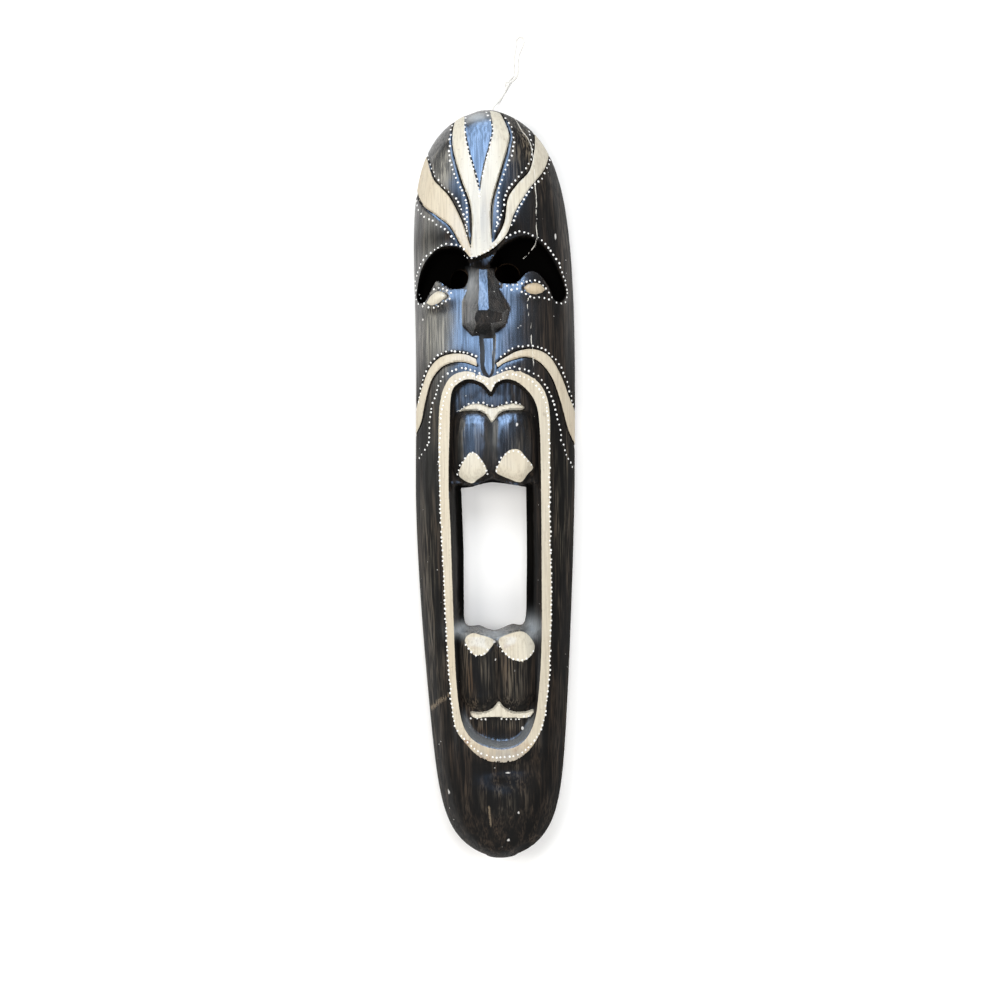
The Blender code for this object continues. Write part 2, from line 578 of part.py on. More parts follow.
def mask_mesh():
    """A sheet of squares laid over the front, thickened to a closed solid, and both faces shaped."""
    turn = np.linspace(-1, 1, ROWS)
    end = LENGTH / 2
    y_rows = np.sign(turn) * (1 - (1 - np.abs(turn)) ** 1.5) * end
    angles = np.linspace(-math.pi / 2, math.pi / 2, COLUMNS)
    grid_y, grid_angle = np.meshgrid(y_rows, angles, indexing="ij")
    front = front_places(*pull_to_edges(middle(grid_y) + half_width(grid_y) * np.sin(grid_angle), grid_y))
    back_angles = np.concatenate([[-9.0], np.linspace(-math.pi / 2, math.pi / 2, COLUMNS - 2), [9.0]])
    across = np.where(np.abs(back_angles) > math.pi, np.sign(back_angles) * 2, np.sin(back_angles))
    back = back_places(grid_y, np.broadcast_to(across, grid_y.shape))
    sheet = bmesh.new()
    bmesh.ops.create_grid(sheet, x_segments=COLUMNS - 1, y_segments=ROWS - 1, size=1)
    for index, vert in enumerate(sheet.verts):
        vert.co = front[index // COLUMNS, index % COLUMNS]
    grid = list(sheet.verts)
    made = bmesh.ops.extrude_face_region(sheet, geom=sheet.faces[:])
    copies = [v for v in made["geom"] if isinstance(v, bmesh.types.BMVert)]
    lookup = {tuple(v.co): v for v in copies}
    for index, vert in enumerate(grid):
        lookup[tuple(vert.co)].co = back[index // COLUMNS, index % COLUMNS]
    bmesh.ops.recalc_face_normals(sheet, faces=sheet.faces[:])
    mesh = bpy.data.meshes.new("carved_mask")
    sheet.to_mesh(mesh)
    sheet.free()
    return mesh


def prism(name, line, made):
    """A hidden cutter: a closed outline run right through the mask."""
    cutter = bmesh.new()
    ring = [cutter.verts.new((x, y, -CROWN / 2)) for x, y in line]
    base = cutter.faces.new(ring)
    risen = bmesh.ops.extrude_face_region(cutter, geom=[base])
    top = [v for v in risen["geom"] if isinstance(v, bmesh.types.BMVert)]
    bmesh.ops.translate(cutter, verts=top, vec=(0, 0, CROWN * 2))
    bmesh.ops.recalc_face_normals(cutter, faces=cutter.faces[:])
    mesh = bpy.data.meshes.new(name)
    cutter.to_mesh(mesh)
    cutter.free()
    return show(name, mesh, made, hidden=True)


def cord_hole_cutter(made):
    """The blind hole that the cord is pegged into, drilled down from the top end."""
    drill = bmesh.new()
    bmesh.ops.create_cone(
        drill, cap_ends=True, segments=16, radius1=CORD_HOLE_DIAMETER / 2, radius2=CORD_HOLE_DIAMETER / 2,
        depth=CORD_HOLE_DEPTH * 2,
    )
    place = Matrix.Translation((CORD_TAIL[1][0], LENGTH / 2, CORD_HOLE_HEIGHT))
    place = place @ Matrix.Rotation(math.pi / 2, 4, "X")
    bmesh.ops.transform(drill, matrix=place, verts=drill.verts[:])
    mesh = bpy.data.meshes.new("cord_hole_drill")
    drill.to_mesh(mesh)
    drill.free()
    return show("cord_hole_drill", mesh, made, hidden=True)


def carve_mask(wood):
    mask = show("carved_mask", mask_mesh(), wood)
    cutters = [
        prism("left_eye_cutter", ellipse(*LEFT_HOLE), wood),
        prism("right_eye_cutter", ellipse(*RIGHT_HOLE), wood),
        prism("mouth_cutter", curve(OPENING, closed=True, corners=OPENING[:1] + OPENING[5:6]), wood),
        cord_hole_cutter(wood),
    ]
    fewer = mask.modifiers.new("simplify", "DECIMATE")
    fewer.ratio = TRIANGLES / (4 * (ROWS - 1) * (COLUMNS - 1))
    for cutter in cutters:
        cut = mask.modifiers.new(cutter.name, "BOOLEAN")
        cut.operation = "DIFFERENCE"
        cut.solver = "EXACT"
        cut.object = cutter
    return mask


def smooth_route(points):
    """Points a few diameters apart on a smooth curve through the route's own points."""
    route = [Vector(p) for p in points]
    line = []
    for i in range(len(route) - 1):
        a, b = route[i], route[i + 1]
        leave = (b - route[max(i - 1, 0)]) / 2
        arrive = (route[min(i + 2, len(route) - 1)] - a) / 2
        line.append(a)
        t = 0.5
        line.append(
            a * (2 * t**3 - 3 * t**2 + 1) + leave * (t**3 - 2 * t**2 + t)
            + b * (3 * t**2 - 2 * t**3) + arrive * (t**3 - t**2)
        )
    return line + [route[-1]]


def cord(name, points, made):
    data = bpy.data.curves.new(name, "CURVE")
    data.dimensions = "3D"
    data.bevel_depth = CORD_DIAMETER / 2
    data.bevel_resolution = 2
    data.use_fill_caps = True
    line = smooth_route(points)
    spline = data.splines.new("POLY")
    spline.points.add(len(line) - 1)
    for spot, place in zip(spline.points, line):
        spot.co = (*place, 1.0)
    return show(name, data, made)


def knot(made):
    """A small lump where the loop is tied, flat where it lies."""
    lump = bmesh.new()
    bmesh.ops.create_uvsphere(lump, u_segments=14, v_segments=9, radius=KNOT_RADIUS)
    for vert in lump.verts:
        vert.co.z *= 0.75
        vert.co.z = max(vert.co.z, -KNOT_RADIUS * 0.62)
    bmesh.ops.remove_doubles(lump, verts=lump.verts[:], dist=1e-6)
    place = Matrix.Translation((*KNOT_AT, KNOT_RADIUS * 0.62))
    bmesh.ops.transform(lump, matrix=place, verts=lump.verts[:])
    mesh = bpy.data.meshes.new("cord_knot")
    lump.to_mesh(mesh)
    lump.free()
    return show("cord_knot", mesh, made)


def main():
    clear_scene()
    wood = material("stained wood", (0.045, 0.035, 0.028), 0.42)
    string = material("white string", (0.80, 0.80, 0.78), 0.75)
    carve_mask(wood)
    cord("hanging_cord", CORD_TAIL, string)
    cord("hanging_cord_loop", CORD_LOOP, string)
    knot(string)


main()
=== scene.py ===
# %% [markdown]
# # A long carved wall mask
# The real object is half of a log, about a metre long, with a face cut into its round side. The wood is
# stained almost black, some carved bands are left pale, and rows of white paint dots follow them. A
# twisted string for hanging comes out of the top end. Here it lies on its flat back, seen from above.
#
# A plain solid model of it was made first. It is loaded as a fixed frame, so that every piece made
# here goes straight to its place, in metres: +Y is the top of the head and +Z points out of the face.

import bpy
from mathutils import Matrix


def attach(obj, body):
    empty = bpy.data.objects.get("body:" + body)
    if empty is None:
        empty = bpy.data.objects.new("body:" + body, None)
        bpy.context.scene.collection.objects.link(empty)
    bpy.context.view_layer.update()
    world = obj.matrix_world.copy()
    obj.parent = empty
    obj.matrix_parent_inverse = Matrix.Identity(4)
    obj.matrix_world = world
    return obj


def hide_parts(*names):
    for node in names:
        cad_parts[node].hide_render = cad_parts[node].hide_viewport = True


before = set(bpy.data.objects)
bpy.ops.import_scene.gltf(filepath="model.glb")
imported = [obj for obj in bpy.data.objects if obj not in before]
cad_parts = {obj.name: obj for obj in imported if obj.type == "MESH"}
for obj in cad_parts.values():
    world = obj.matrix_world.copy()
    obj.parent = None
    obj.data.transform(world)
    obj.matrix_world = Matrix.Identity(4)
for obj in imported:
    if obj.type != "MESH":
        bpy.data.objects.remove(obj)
print("solids in the frame:", sorted(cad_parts))

# %% The tools, and the solid model's own box
import math
from functools import cache

import bmesh
import bpy
import numpy as np
from mathutils import Matrix, Vector
from mathutils.bvhtree import BVHTree

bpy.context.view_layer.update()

# %% [markdown]
# ## The camera
# The face is looked at straight from above, from 1.65 m over the table, and the picture is turned by a
# little more than a degree. A real lens could be described by its angle. Here it is set from how many
# pixels one metre covers at one metre's distance, because the same number later turns any spot of the
# picture into a place on the wood.

# %% The camera
EYE_HEIGHT = 1.65
EYE_X = 0.0037
EYE_Y = -0.0212
PICTURE_TURN = math.radians(-1.3)
PICTURE_SIDE = 1000
PICTURE_MIDDLE = PICTURE_SIDE / 2
PIXELS_PER_UNIT = 1218.3
SENSOR_WIDTH = 36.0
FARTHEST_SEEN = 20

lens = bpy.data.cameras.new("camera")
lens.sensor_width = SENSOR_WIDTH
lens.lens = SENSOR_WIDTH * PIXELS_PER_UNIT / PICTURE_SIDE
lens.clip_end = FARTHEST_SEEN
camera = bpy.data.objects.new("camera", lens)
camera.location = (EYE_X, EYE_Y, EYE_HEIGHT)
camera.rotation_euler = (0, 0, PICTURE_TURN)
bpy.context.scene.collection.objects.link(camera)
bpy.context.scene.camera = camera
print(f"lens of {lens.lens:.1f} mm")

# %% [markdown]
# ## The hanging string
# The string is three thin strands twisted together. It leaves a small hole in the top end, comes down
# on to the table, goes through a knot and makes a narrow loop. A curve with a round section would look
# like wire, so the tube is a sheet of squares, rolled up round the route with three bulges that turn as
# they go along. That is how a twist really looks, also from close by.

# %% A smooth line through points
CORNER_PULL = 0.9


def smooth_line(points, steps, closed=False, corners=()):
    """A smooth line through the points, with steps places for each span; the corners stay sharp."""
    spots = [Vector(p) for p in points]
    count = len(spots)
    line = []
    for i in range(count if closed else count - 1):
        a, b = spots[i], spots[(i + 1) % count]
        before = spots[i - 1] if closed or i > 0 else a
        after = spots[(i + 2) % count] if closed or i + 2 < count else b
        leave = (b - a) * CORNER_PULL if i in corners else (b - before) / 2
        arrive = (b - a) * CORNER_PULL if (i + 1) % count in corners else (after - a) / 2
        for step in range(steps):
            t = step / steps
            rise = 3 * t**2 - 2 * t**3
            line.append(a * (1 - rise) + leave * (t**3 - 2 * t**2 + t) + b * rise + arrive * (t**3 - t**2))
    return line if closed else line + [spots[-1]]


# %% From a shape to a finished piece
def as_mesh(name, shape):
    """The mesh of a bmesh, which is freed."""
    mesh = bpy.data.meshes.new(name)
    shape.to_mesh(mesh)
    shape.free()
    return mesh


def put_in_scene(name, data):
    """A new object with this mesh, lamp or camera."""
    thing = bpy.data.objects.new(name, data)
    bpy.context.scene.collection.objects.link(thing)
    return thing


def finish_piece(name, mesh, slot, *nodes):
    """Puts a finished mesh in the scene, riding on the part's one body, in place of the named solids."""
    piece = put_in_scene(name, mesh)
    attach(piece, "root")
    if nodes:
        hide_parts(*nodes)
    return piece


# %% A twisted tube round a line
STRING_DIAMETER = 0.0025
STRANDS = 3
STRAND_BULGE = 0.22
TWIST_LENGTH = 0.0085
AROUND = 18
SAME_PLACE = 1e-6


def twisted_tube(name, line, closed=False):
    """A sheet of squares rolled round the line, with bulges that turn as they go along."""
    count = len(line)
    rings = line + [line[0]] if closed else line
    total = sum((b - a).length for a, b in zip(rings, rings[1:]))
    turns = round(total / TWIST_LENGTH)
    sheet = bmesh.new()
    bmesh.ops.create_grid(sheet, x_segments=AROUND, y_segments=len(rings) - 1, size=1)
    sheet.verts.ensure_lookup_table()
    side = Vector((0, 0, 1))
    along = 0.0
    for i, centre in enumerate(rings):
        if closed:
            ahead = line[(i + 1) % count] - line[(i - 1) % count]
        else:
            ahead = rings[min(i + 1, count - 1)] - rings[max(i - 1, 0)]
        ahead.normalize()
        side = (side - ahead * side.dot(ahead)).normalized()
        if closed:
            side = (Vector((0, 0, 1)) - ahead * ahead.z).normalized()
        other = ahead.cross(side)
        along += (centre - rings[i - 1]).length if i else 0.0
        start = 2 * math.pi * turns * along / total / STRANDS
        for j in range(AROUND + 1):
            angle = 2 * math.pi * j / AROUND
            bulge = abs(math.cos((angle - start) * STRANDS / 2))
            radius = STRING_DIAMETER / 2 * (1 - STRAND_BULGE + STRAND_BULGE * bulge)
            place = centre + (side * math.cos(angle) + other * math.sin(angle)) * radius
            sheet.verts[i * (AROUND + 1) + j].co = place
    bmesh.ops.remove_doubles(sheet, verts=sheet.verts[:], dist=SAME_PLACE)
    if not closed:
        bmesh.ops.holes_fill(sheet, edges=[e for e in sheet.edges if e.is_boundary], sides=0)
    bmesh.ops.recalc_face_normals(sheet, faces=sheet.faces[:])
    for face in sheet.faces:
        face.smooth = True
    return as_mesh(name, sheet), total


# %% The string's route, and its knot
KNOT_AT = (0.0263, 0.5405, 0.0033)
ROUTE = [
    (0.0055, 0.4845, 0.0120), (0.0055, 0.4900, 0.0120), (0.0055, 0.4975, 0.0120), (0.0059, 0.5030, 0.0115),
    (0.0075, 0.5080, 0.0098), (0.0103, 0.5125, 0.0068), (0.0135, 0.5165, 0.0038), (0.0165, 0.5205, 0.0021),
    (0.0192, 0.5247, 0.0015), (0.0217, 0.5285, 0.0015), (0.0237, 0.5318, 0.0018), (0.0251, 0.5348, 0.0026),
    (0.0261, 0.5382, 0.0033), (0.0280, 0.5418, 0.0032), (0.0311, 0.5440, 0.0026), (0.0343, 0.5462, 0.0018),
    (0.0375, 0.5492, 0.0015), (0.0400, 0.5532, 0.0014), (0.0413, 0.5580, 0.0014), (0.0416, 0.5640, 0.0014),
    (0.0416, 0.5700, 0.0014), (0.0422, 0.5760, 0.0014), (0.0436, 0.5820, 0.0014), (0.0458, 0.5875, 0.0014),
    (0.0483, 0.5925, 0.0014), (0.0499, 0.5975, 0.0014), (0.0489, 0.6023, 0.0014), (0.0447, 0.6045, 0.0014),
    (0.0407, 0.6020, 0.0014), (0.0392, 0.5965, 0.0014), (0.0386, 0.5905, 0.0014), (0.0377, 0.5840, 0.0014),
    (0.0369, 0.5775, 0.0014), (0.0363, 0.5710, 0.0014), (0.0361, 0.5645, 0.0014), (0.0358, 0.5585, 0.0014),
    (0.0349, 0.5535, 0.0015), (0.0329, 0.5497, 0.0018), (0.0304, 0.5472, 0.0023), (0.0283, 0.5445, 0.0028),
]
ROUTE_STEPS = 8
STRING_EXIT = (0.0055, 0.4950, 0.0120)
KNOT_SIZE = 0.00115
KNOT_RISE = 0.0010
KNOT_STEPS = 72

route = smooth_line(ROUTE, ROUTE_STEPS)
string_mesh, string_length = twisted_tube("hanging_string", route)
knot_line = []
for i in range(KNOT_STEPS):
    t = 2 * math.pi * i / KNOT_STEPS
    across = (math.sin(t) + 2 * math.sin(2 * t)) * KNOT_SIZE
    up = (math.cos(t) - 2 * math.cos(2 * t)) * KNOT_SIZE
    knot_line.append(Vector(KNOT_AT) + Vector((across, up, -math.sin(3 * t) * KNOT_RISE)))
knot_mesh, _ = twisted_tube("string_knot", knot_line, closed=True)

hanging_string = finish_piece(
    "hanging_string", string_mesh, "white_string", "hanging_cord", "hanging_cord_loop"
)
string_knot = finish_piece("string_knot", knot_mesh, "white_string", "cord_knot")
[tuple(p) for p in route]
lowest = min(v.co.z for v in string_mesh.vertices)
print(f"string of {string_length * 1000:.0f} mm, lowest {lowest * 1000:.2f} mm")

# %% [markdown]
# ## The block of wood
# A carver starts from a split log: a long half round, flat behind, with both ends rounded over. Its
# outline and its ridge are simple curves of the height, so they are written as functions. Everything
# that is cut later is a depth below this plain log.

# %% The sizes of the block
LENGTH = 0.990
WIDTH = 0.213
CROWN = 0.078
SIDE_EDGE = 0.016
TOP_END_CROWN = 0.035
TOP_ROUND = 0.062
CHIN_END_CROWN = 0.034
CHIN_ROUND = 0.110
RIM_WIDTH = 0.013
END_RIM = 0.030
WALL = 0.017
CARVED_WALL = 0.009
THINNEST_WALL = 0.005
GOUGE_SLOPE = 0.022
TOP_POWER = 7.5
CHIN_POWER = 14
CHIN_TAPER = 0.29
CHIN_TAPER_POWER = 1.5
END_HALF_WIDTH = 0.20
BOW = 0.032
BOW_AT = 0.42
BOW_SPREAD = 0.42
LEAN = -0.0221


# %% The plain log as functions
def clamp(value):
    """The value, kept between 0 and 1."""
    return np.clip(value, 0.0, 1.0)


def ease(value):
    """A soft step from 0 to 1."""
    value = clamp(value)
    return value * value * (3 - 2 * value)


def bell(x, y, place, spread_x, spread_y):
    """A soft round rise, 1 at its middle."""
    return np.exp(-(((x - place[0]) / spread_x) ** 2) - ((y - place[1]) / spread_y) ** 2)


def half_width(y):
    """Half of the block's width, which narrows to a wide chin and a rounded top."""
    share = np.asarray(y, float) / (LENGTH / 2)
    top = np.sqrt(1 - np.clip(share, 0, 1) ** TOP_POWER)
    down = np.clip(-share, 0, 1)
    chin = (1 - CHIN_TAPER * down**CHIN_TAPER_POWER) * np.sqrt(1 - down**CHIN_POWER)
    return WIDTH / 2 * np.maximum(np.where(share > 0, top, chin), END_HALF_WIDTH)


def middle(y):
    """The block's own middle line, which bows a little to the viewer's right above the mouth."""
    share = np.asarray(y, float) / (LENGTH / 2)
    return WIDTH * (LEAN + BOW * np.exp(-(((share - BOW_AT) / BOW_SPREAD) ** 2)))


def crown(y):
    """Height of the ridge, which rounds down to both ends."""
    y = np.asarray(y, float)
    top = clamp((y - LENGTH / 2 + TOP_ROUND) / TOP_ROUND)
    chin = clamp((-y - LENGTH / 2 + CHIN_ROUND) / CHIN_ROUND)
    drop = (CROWN - TOP_END_CROWN) * (1 - np.sqrt(1 - top**2))
    return CROWN - drop - (CROWN - CHIN_END_CROWN) * (1 - np.sqrt(1 - chin**2))


def arch(x, y):
    """Height of the plain log at a place."""
    across = np.clip((x - middle(y)) / half_width(y), -1, 1)
    return SIDE_EDGE + (crown(y) - SIDE_EDGE) * np.sqrt(1 - across**2)


log_wide, log_high = 2 * float(half_width(0)) * 1000, float(arch(0, 0)) * 1000
print(f"the log is {log_wide:.0f} mm wide and {log_high:.0f} mm high at its middle")

# %% [markdown]
# ## From the picture to the wood
# The carving is easiest to draw as it is seen: as lines in the picture, in pixels. `on_mask` follows the
# line of sight of such a spot down to the log. It starts at the ridge's height and corrects itself a
# few times, because the place depends on the height and the height on the place.

# %% Lines drawn in the picture
SPAN_STEPS = 5
SIGHT_STEPS = 12
HOLE_STEPS = 36


def sight(point):
    """How far a line of sight goes to the right and up for each metre that it goes down."""
    right = (point[0] - PICTURE_MIDDLE) / PIXELS_PER_UNIT
    up = (PICTURE_MIDDLE - point[1]) / PIXELS_PER_UNIT
    turned_x = right * math.cos(PICTURE_TURN) - up * math.sin(PICTURE_TURN)
    return turned_x, right * math.sin(PICTURE_TURN) + up * math.cos(PICTURE_TURN)


@cache
def on_mask(point):
    """The place on the log that a picture point shows, in metres."""
    turned_x, turned_y = sight(point)
    z = CROWN
    for _ in range(SIGHT_STEPS):
        x = EYE_X + turned_x * (EYE_HEIGHT - z)
        y = EYE_Y + turned_y * (EYE_HEIGHT - z)
        z = (z + float(arch(x, y))) / 2
    return x, y


def pixels(count):
    """A length given in picture pixels, in metres at the crown."""
    return count / PIXELS_PER_UNIT * (EYE_HEIGHT - CROWN)


def patch(x, y, seen_x, seen_y, across, down):
    """A soft round rise at a picture point, with its spread in pixels."""
    return bell(x, y, on_mask((seen_x, seen_y)), pixels(across), pixels(down))


def curve(points, closed=False, corners=()):
    """A smooth line through the picture points, on the mask, with the corners kept sharp."""
    sharp = [i for i, point in enumerate(points) if point in corners]
    line = smooth_line([on_mask(p) for p in points], SPAN_STEPS, closed, sharp)
    return np.array([tuple(p) for p in line])


def ellipse(centre_x, centre_y, across, down):
    """An oval given in picture pixels, as a closed line on the mask."""
    angles = [2 * math.pi * i / HOLE_STEPS for i in range(HOLE_STEPS)]
    seen = [(centre_x + across * math.cos(a), centre_y + down * math.sin(a)) for a in angles]
    return np.array([on_mask(point) for point in seen])


# %% Distances to a line
FAR_REACH = 0.03


def from_line(x, y, line, closed, reach):
    """Distance to a line, the side it is passed on, what is inside it, and the nearest place on it."""
    found = [np.full(x.shape, reach), np.ones(x.shape), np.zeros(x.shape, bool), x.copy(), y.copy()]
    near = (x > line[:, 0].min() - reach) & (x < line[:, 0].max() + reach)
    near &= (y > line[:, 1].min() - reach) & (y < line[:, 1].max() + reach)
    order = np.argsort(y[near], kind="stable")
    px, py = x[near][order], y[near][order]
    best, turn, within = np.full(px.shape, reach), np.ones(px.shape), np.zeros(px.shape, bool)
    at_x, at_y = px.copy(), py.copy()
    for a, b in zip(line, np.roll(line, -1, axis=0) if closed else line[1:]):
        low, high = min(a[1], b[1]), max(a[1], b[1])
        rows = slice(*np.searchsorted(py, (low - reach, high + reach)))
        qx, qy, run = px[rows], py[rows], b - a
        along = clamp(((qx - a[0]) * run[0] + (qy - a[1]) * run[1]) / max(run @ run, 1e-12))
        on_x, on_y = a[0] + along * run[0], a[1] + along * run[1]
        away = np.hypot(qx - on_x, qy - on_y)
        closer = away < best[rows]
        best[rows][closer], at_x[rows][closer], at_y[rows][closer] = away[closer], on_x[closer], on_y[closer]
        turn[rows][closer] = np.sign(run[0] * (qy[closer] - a[1]) - run[1] * (qx[closer] - a[0]))
        if closed and low != high:
            rows = slice(*np.searchsorted(py, (low, high)))
            within[rows] ^= px[rows] < a[0] + (py[rows] - a[1]) * run[0] / run[1]
    for whole, part in zip(found, (best, turn, within, at_x, at_y)):
        back = np.empty_like(part)
        back[order] = part
        whole[near] = back
    return found


def depth_inside(x, y, line, reach=FAR_REACH):
    """How far inside a closed line a place is, and less than 0 outside it, up to the reach."""
    distance, _, inside, _, _ = from_line(x, y, line, True, reach)
    return np.where(inside, distance, -distance)


def inside_of(x, y, outline, reach=FAR_REACH, corners=()):
    """How far inside an outline of the drawing a place is."""
    return depth_inside(x, y, curve(outline, closed=True, corners=corners), reach)


# %% [markdown]
# ## The drawing
# These are the lines that the carver would pencil on the log: the pale bands that fan out over the
# forehead, the eye hollows, the nose's flat facets, the two moustache bands, and the mouth with its
# border, gums and teeth. A band is two edges, so that each edge can get its own knife cut.

# %% Forehead and eyes
WEDGE_LEFT = [(465, 109), (464.6, 130), (468.2, 151), (473.3, 169), (479.6, 193.8)]
WEDGE_RIGHT = [(489, 109), (493.2, 128), (490.6, 143.4), (484.2, 167), (479.6, 193.8)]
INNER_LEFT = [
    (458, 112), (452.8, 130), (453.3, 149.7), (460.6, 176.5), (469.8, 202.3), (472, 223), (471.2, 246),
]
INNER_RIGHT = [
    (500, 113), (508.7, 131.9), (507.5, 146), (498.5, 176.5), (492.1, 199.5), (490.6, 216), (491.5, 238),
]
TRUNK_END = [(470.6, 252), (470.4, 257.3), (481, 254.5), (488, 251), (492, 246)]
LEAF_UPPER = [(425, 150), (431.9, 175.6), (440.3, 186.8), (450.2, 198), (462.8, 223.3), (470.5, 247.9)]
LEAF_LOWER = [(414, 180), (420.7, 202.3), (436.1, 214.9), (450.2, 226.1), (461.4, 245.7), (469.8, 257)]
OUTER_UPPER = [
    (534.2, 130), (534.8, 147), (529.7, 170.2), (518.3, 182.9), (508.1, 198.2), (504.5, 222),
    (496.5, 238.7),
]
OUTER_LOWER = [
    (550, 150), (544.4, 168.9), (528.5, 189.3), (514.7, 212), (506.3, 234.5), (492.2, 248.5), (481, 254.2),
]
BROW_EDGE = [(464, 256), (472, 257.5), (481, 254.5), (490, 250.5), (499, 243)]
LEFT_SOCKET = [
    (416.5, 294), (418.5, 302.5), (424, 302.8), (429.5, 294), (433.8, 285), (438.5, 281.2), (450, 288.5),
    (461, 288.8), (467.8, 284), (470, 273), (468.8, 259), (461, 248.3), (450.9, 245.8), (439, 248),
    (428, 258), (420.5, 272),
]
RIGHT_SOCKET = [
    (490, 265.5), (493.5, 254.5), (505, 242.5), (519.5, 235.7), (532.3, 236.1), (545, 245.5), (556, 262),
    (564, 280), (567.2, 294), (561, 302.6), (553, 299), (547.6, 285.5), (538, 273.4), (528, 272),
    (516, 282.5), (502, 282.8), (494.5, 273),
]
LEFT_HOLE = (458.8, 276.2, 9.6, 12.6)
RIGHT_HOLE = (507.3, 270.8, 13.2, 13.0)
LEFT_EYEBALL = [
    (426.6, 303.4), (430.5, 297.0), (437.5, 291.8), (443, 292.6), (447.4, 296.8), (442.5, 300.6),
    (437.5, 304.0), (431, 305.6),
]
RIGHT_EYEBALL = [
    (523.8, 288.0), (528.0, 284.6), (534.5, 283.4), (541.0, 285.2), (545.0, 290.0), (540.5, 293.6),
    (533.5, 294.6), (527.0, 292.4),
]
EYEBALLS = (
    (LEFT_EYEBALL, (LEFT_EYEBALL[0], LEFT_EYEBALL[4]), LEFT_SOCKET, (437.0, 298.2)),
    (RIGHT_EYEBALL, (RIGHT_EYEBALL[0], RIGHT_EYEBALL[4]), RIGHT_SOCKET, (534.2, 289.0)),
)

# %% Nose, lip and moustache
NOSE_FACETS = [
    [(469, 266, -0.45), (491, 266, -0.45), (482, 269.5, 0.08)],
    [(484, 268, 0.04), (483, 296.5, 0.66), (487, 296.5, 0.66)],
    [(482, 296.5, 0.66), (481, 312.5, 1.0), (487, 312.5, 1.0)],
    [(479.2, 268, 0.04), (478.9, 296.5, 0.66), (465.5, 306, 0.10)],
    [(487.0, 268, 0.04), (488.1, 296.5, 0.66), (507, 309, 0.08)],
    [(477.2, 313, 1.0), (487.7, 313, 1.0), (483, 324.5, 0.66)],
    [(470.5, 305.5, 0.46), (477.2, 313, 1.0), (471.6, 321.4, 0.52)],
    [(488.7, 312, 1.0), (504, 316, 0.34), (496, 324, 0.50)],
    [(460.6, 314, -0.10), (463.6, 324.5, -0.10), (465.6, 315, 0.34)],
    [(463.6, 324.5, -0.10), (469.6, 332, -0.10), (471.5, 322, 0.50)],
    [(473, 335.3, -0.06), (490, 335.6, -0.06), (481, 326, 0.62)],
    [(495, 334, -0.08), (504, 327, -0.10), (495, 324.5, 0.50)],
    [(507, 322, -0.10), (509.6, 311.5, -0.12), (503, 316, 0.34)],
]
PHILTRUM = [
    (479.8, 330), (479.8, 350), (480.2, 366), (482.5, 374), (487, 378), (491, 377.5), (494, 372),
    (495, 360), (494.8, 330),
]
LEFT_LIP_UPPER = [
    (476, 359), (466, 354.5), (453.3, 353.6), (440, 357.5), (429.5, 368.5), (423, 384.5), (416, 411),
]
LEFT_LIP_LOWER = [
    (477, 366), (465.4, 362), (454, 362), (442, 366.8), (431.5, 379.7), (425.5, 400), (421, 422),
    (416, 434),
]
RIGHT_LIP_UPPER = [
    (496, 363.5), (504.2, 358), (518.7, 350.6), (535.7, 349.4), (550.2, 357.3), (561.2, 376), (570, 399),
    (577, 416),
]
RIGHT_LIP_LOWER = [
    (498, 367), (506.6, 361.5), (526, 356.7), (540.6, 362.7), (552.7, 378.5), (561.2, 402.7),
    (568.4, 429.4), (577, 449),
]

# %% Mouth
BORDER_OUTER = [
    (489, 378), (497, 374.6), (511.5, 370), (529, 375.5), (543, 388.2), (549.3, 410), (550, 450),
    (549.9, 520), (551.5, 600), (549.6, 666), (546.6, 703), (541.8, 728), (531, 748), (517, 759.5),
    (499.4, 762.4), (481, 758), (465.4, 743), (455, 726), (450.3, 691), (447.3, 648), (443.8, 580),
    (440, 503), (438.5, 440), (440.5, 400), (449.7, 378), (465.4, 371.2), (479, 374.6),
]
BORDER_INNER = [
    (490.9, 392.4), (496.5, 382.5), (508, 379), (521.2, 384.5), (534.5, 400.3), (539.6, 425), (541.2, 487),
    (541.7, 560), (541.7, 640), (539, 690), (534.5, 721.2), (524, 741), (508, 749), (489.7, 747.8),
    (472, 739), (461.5, 720), (456.2, 680), (453.3, 615), (450.5, 531), (448.5, 487), (449.3, 435),
    (451, 395), (458, 383.5), (469, 379), (482.4, 383.3),
]
NOTCHES = [(489, 378), (490.9, 392.4)]
UPPER_GUM = [
    (456, 411), (462, 407.8), (472, 402.8), (482, 403.5), (492, 407), (503, 404.5), (514, 402.7),
    (524, 405.5), (522, 408.8), (507, 409.6), (499, 413), (492, 421.5), (486, 413.8), (478, 410),
    (465, 409.8),
]
LOWER_GUM = [
    (470.5, 713.5), (479, 714), (488, 712.4), (494, 708.5), (498.8, 703), (504, 708.5), (512, 712.8),
    (523, 713.6), (534, 711), (530, 718.5), (514, 720), (494, 719), (474, 719.5),
]
UPPER_LEFT_TOOTH = [
    (450.5, 430), (455, 414), (466, 409), (480, 409.5), (491, 415), (496, 428), (496.5, 450), (494, 471),
    (485, 479), (470.5, 485), (459, 480.5), (452, 470), (450, 450),
]
UPPER_RIGHT_TOOTH = [
    (487.5, 428), (492, 415), (505, 409), (520, 408), (533, 413), (539, 430), (539.8, 452), (537, 470),
    (528, 481), (519, 485), (504, 480), (490.5, 472), (487, 450),
]
LOWER_LEFT_TOOTH = [
    (455, 646), (460, 636.5), (469, 633), (482, 635), (495, 640), (502, 650), (503, 676), (502, 700),
    (492, 709), (479.5, 712.5), (465, 707), (458.5, 694), (455.8, 670),
]
LOWER_RIGHT_TOOTH = [
    (494, 650), (496, 642), (506, 634), (520, 630.8), (532, 635.5), (538.5, 647), (539.2, 672),
    (537.5, 696), (529, 709), (517.5, 713.5), (504, 708.5), (495, 700), (493.5, 676),
]
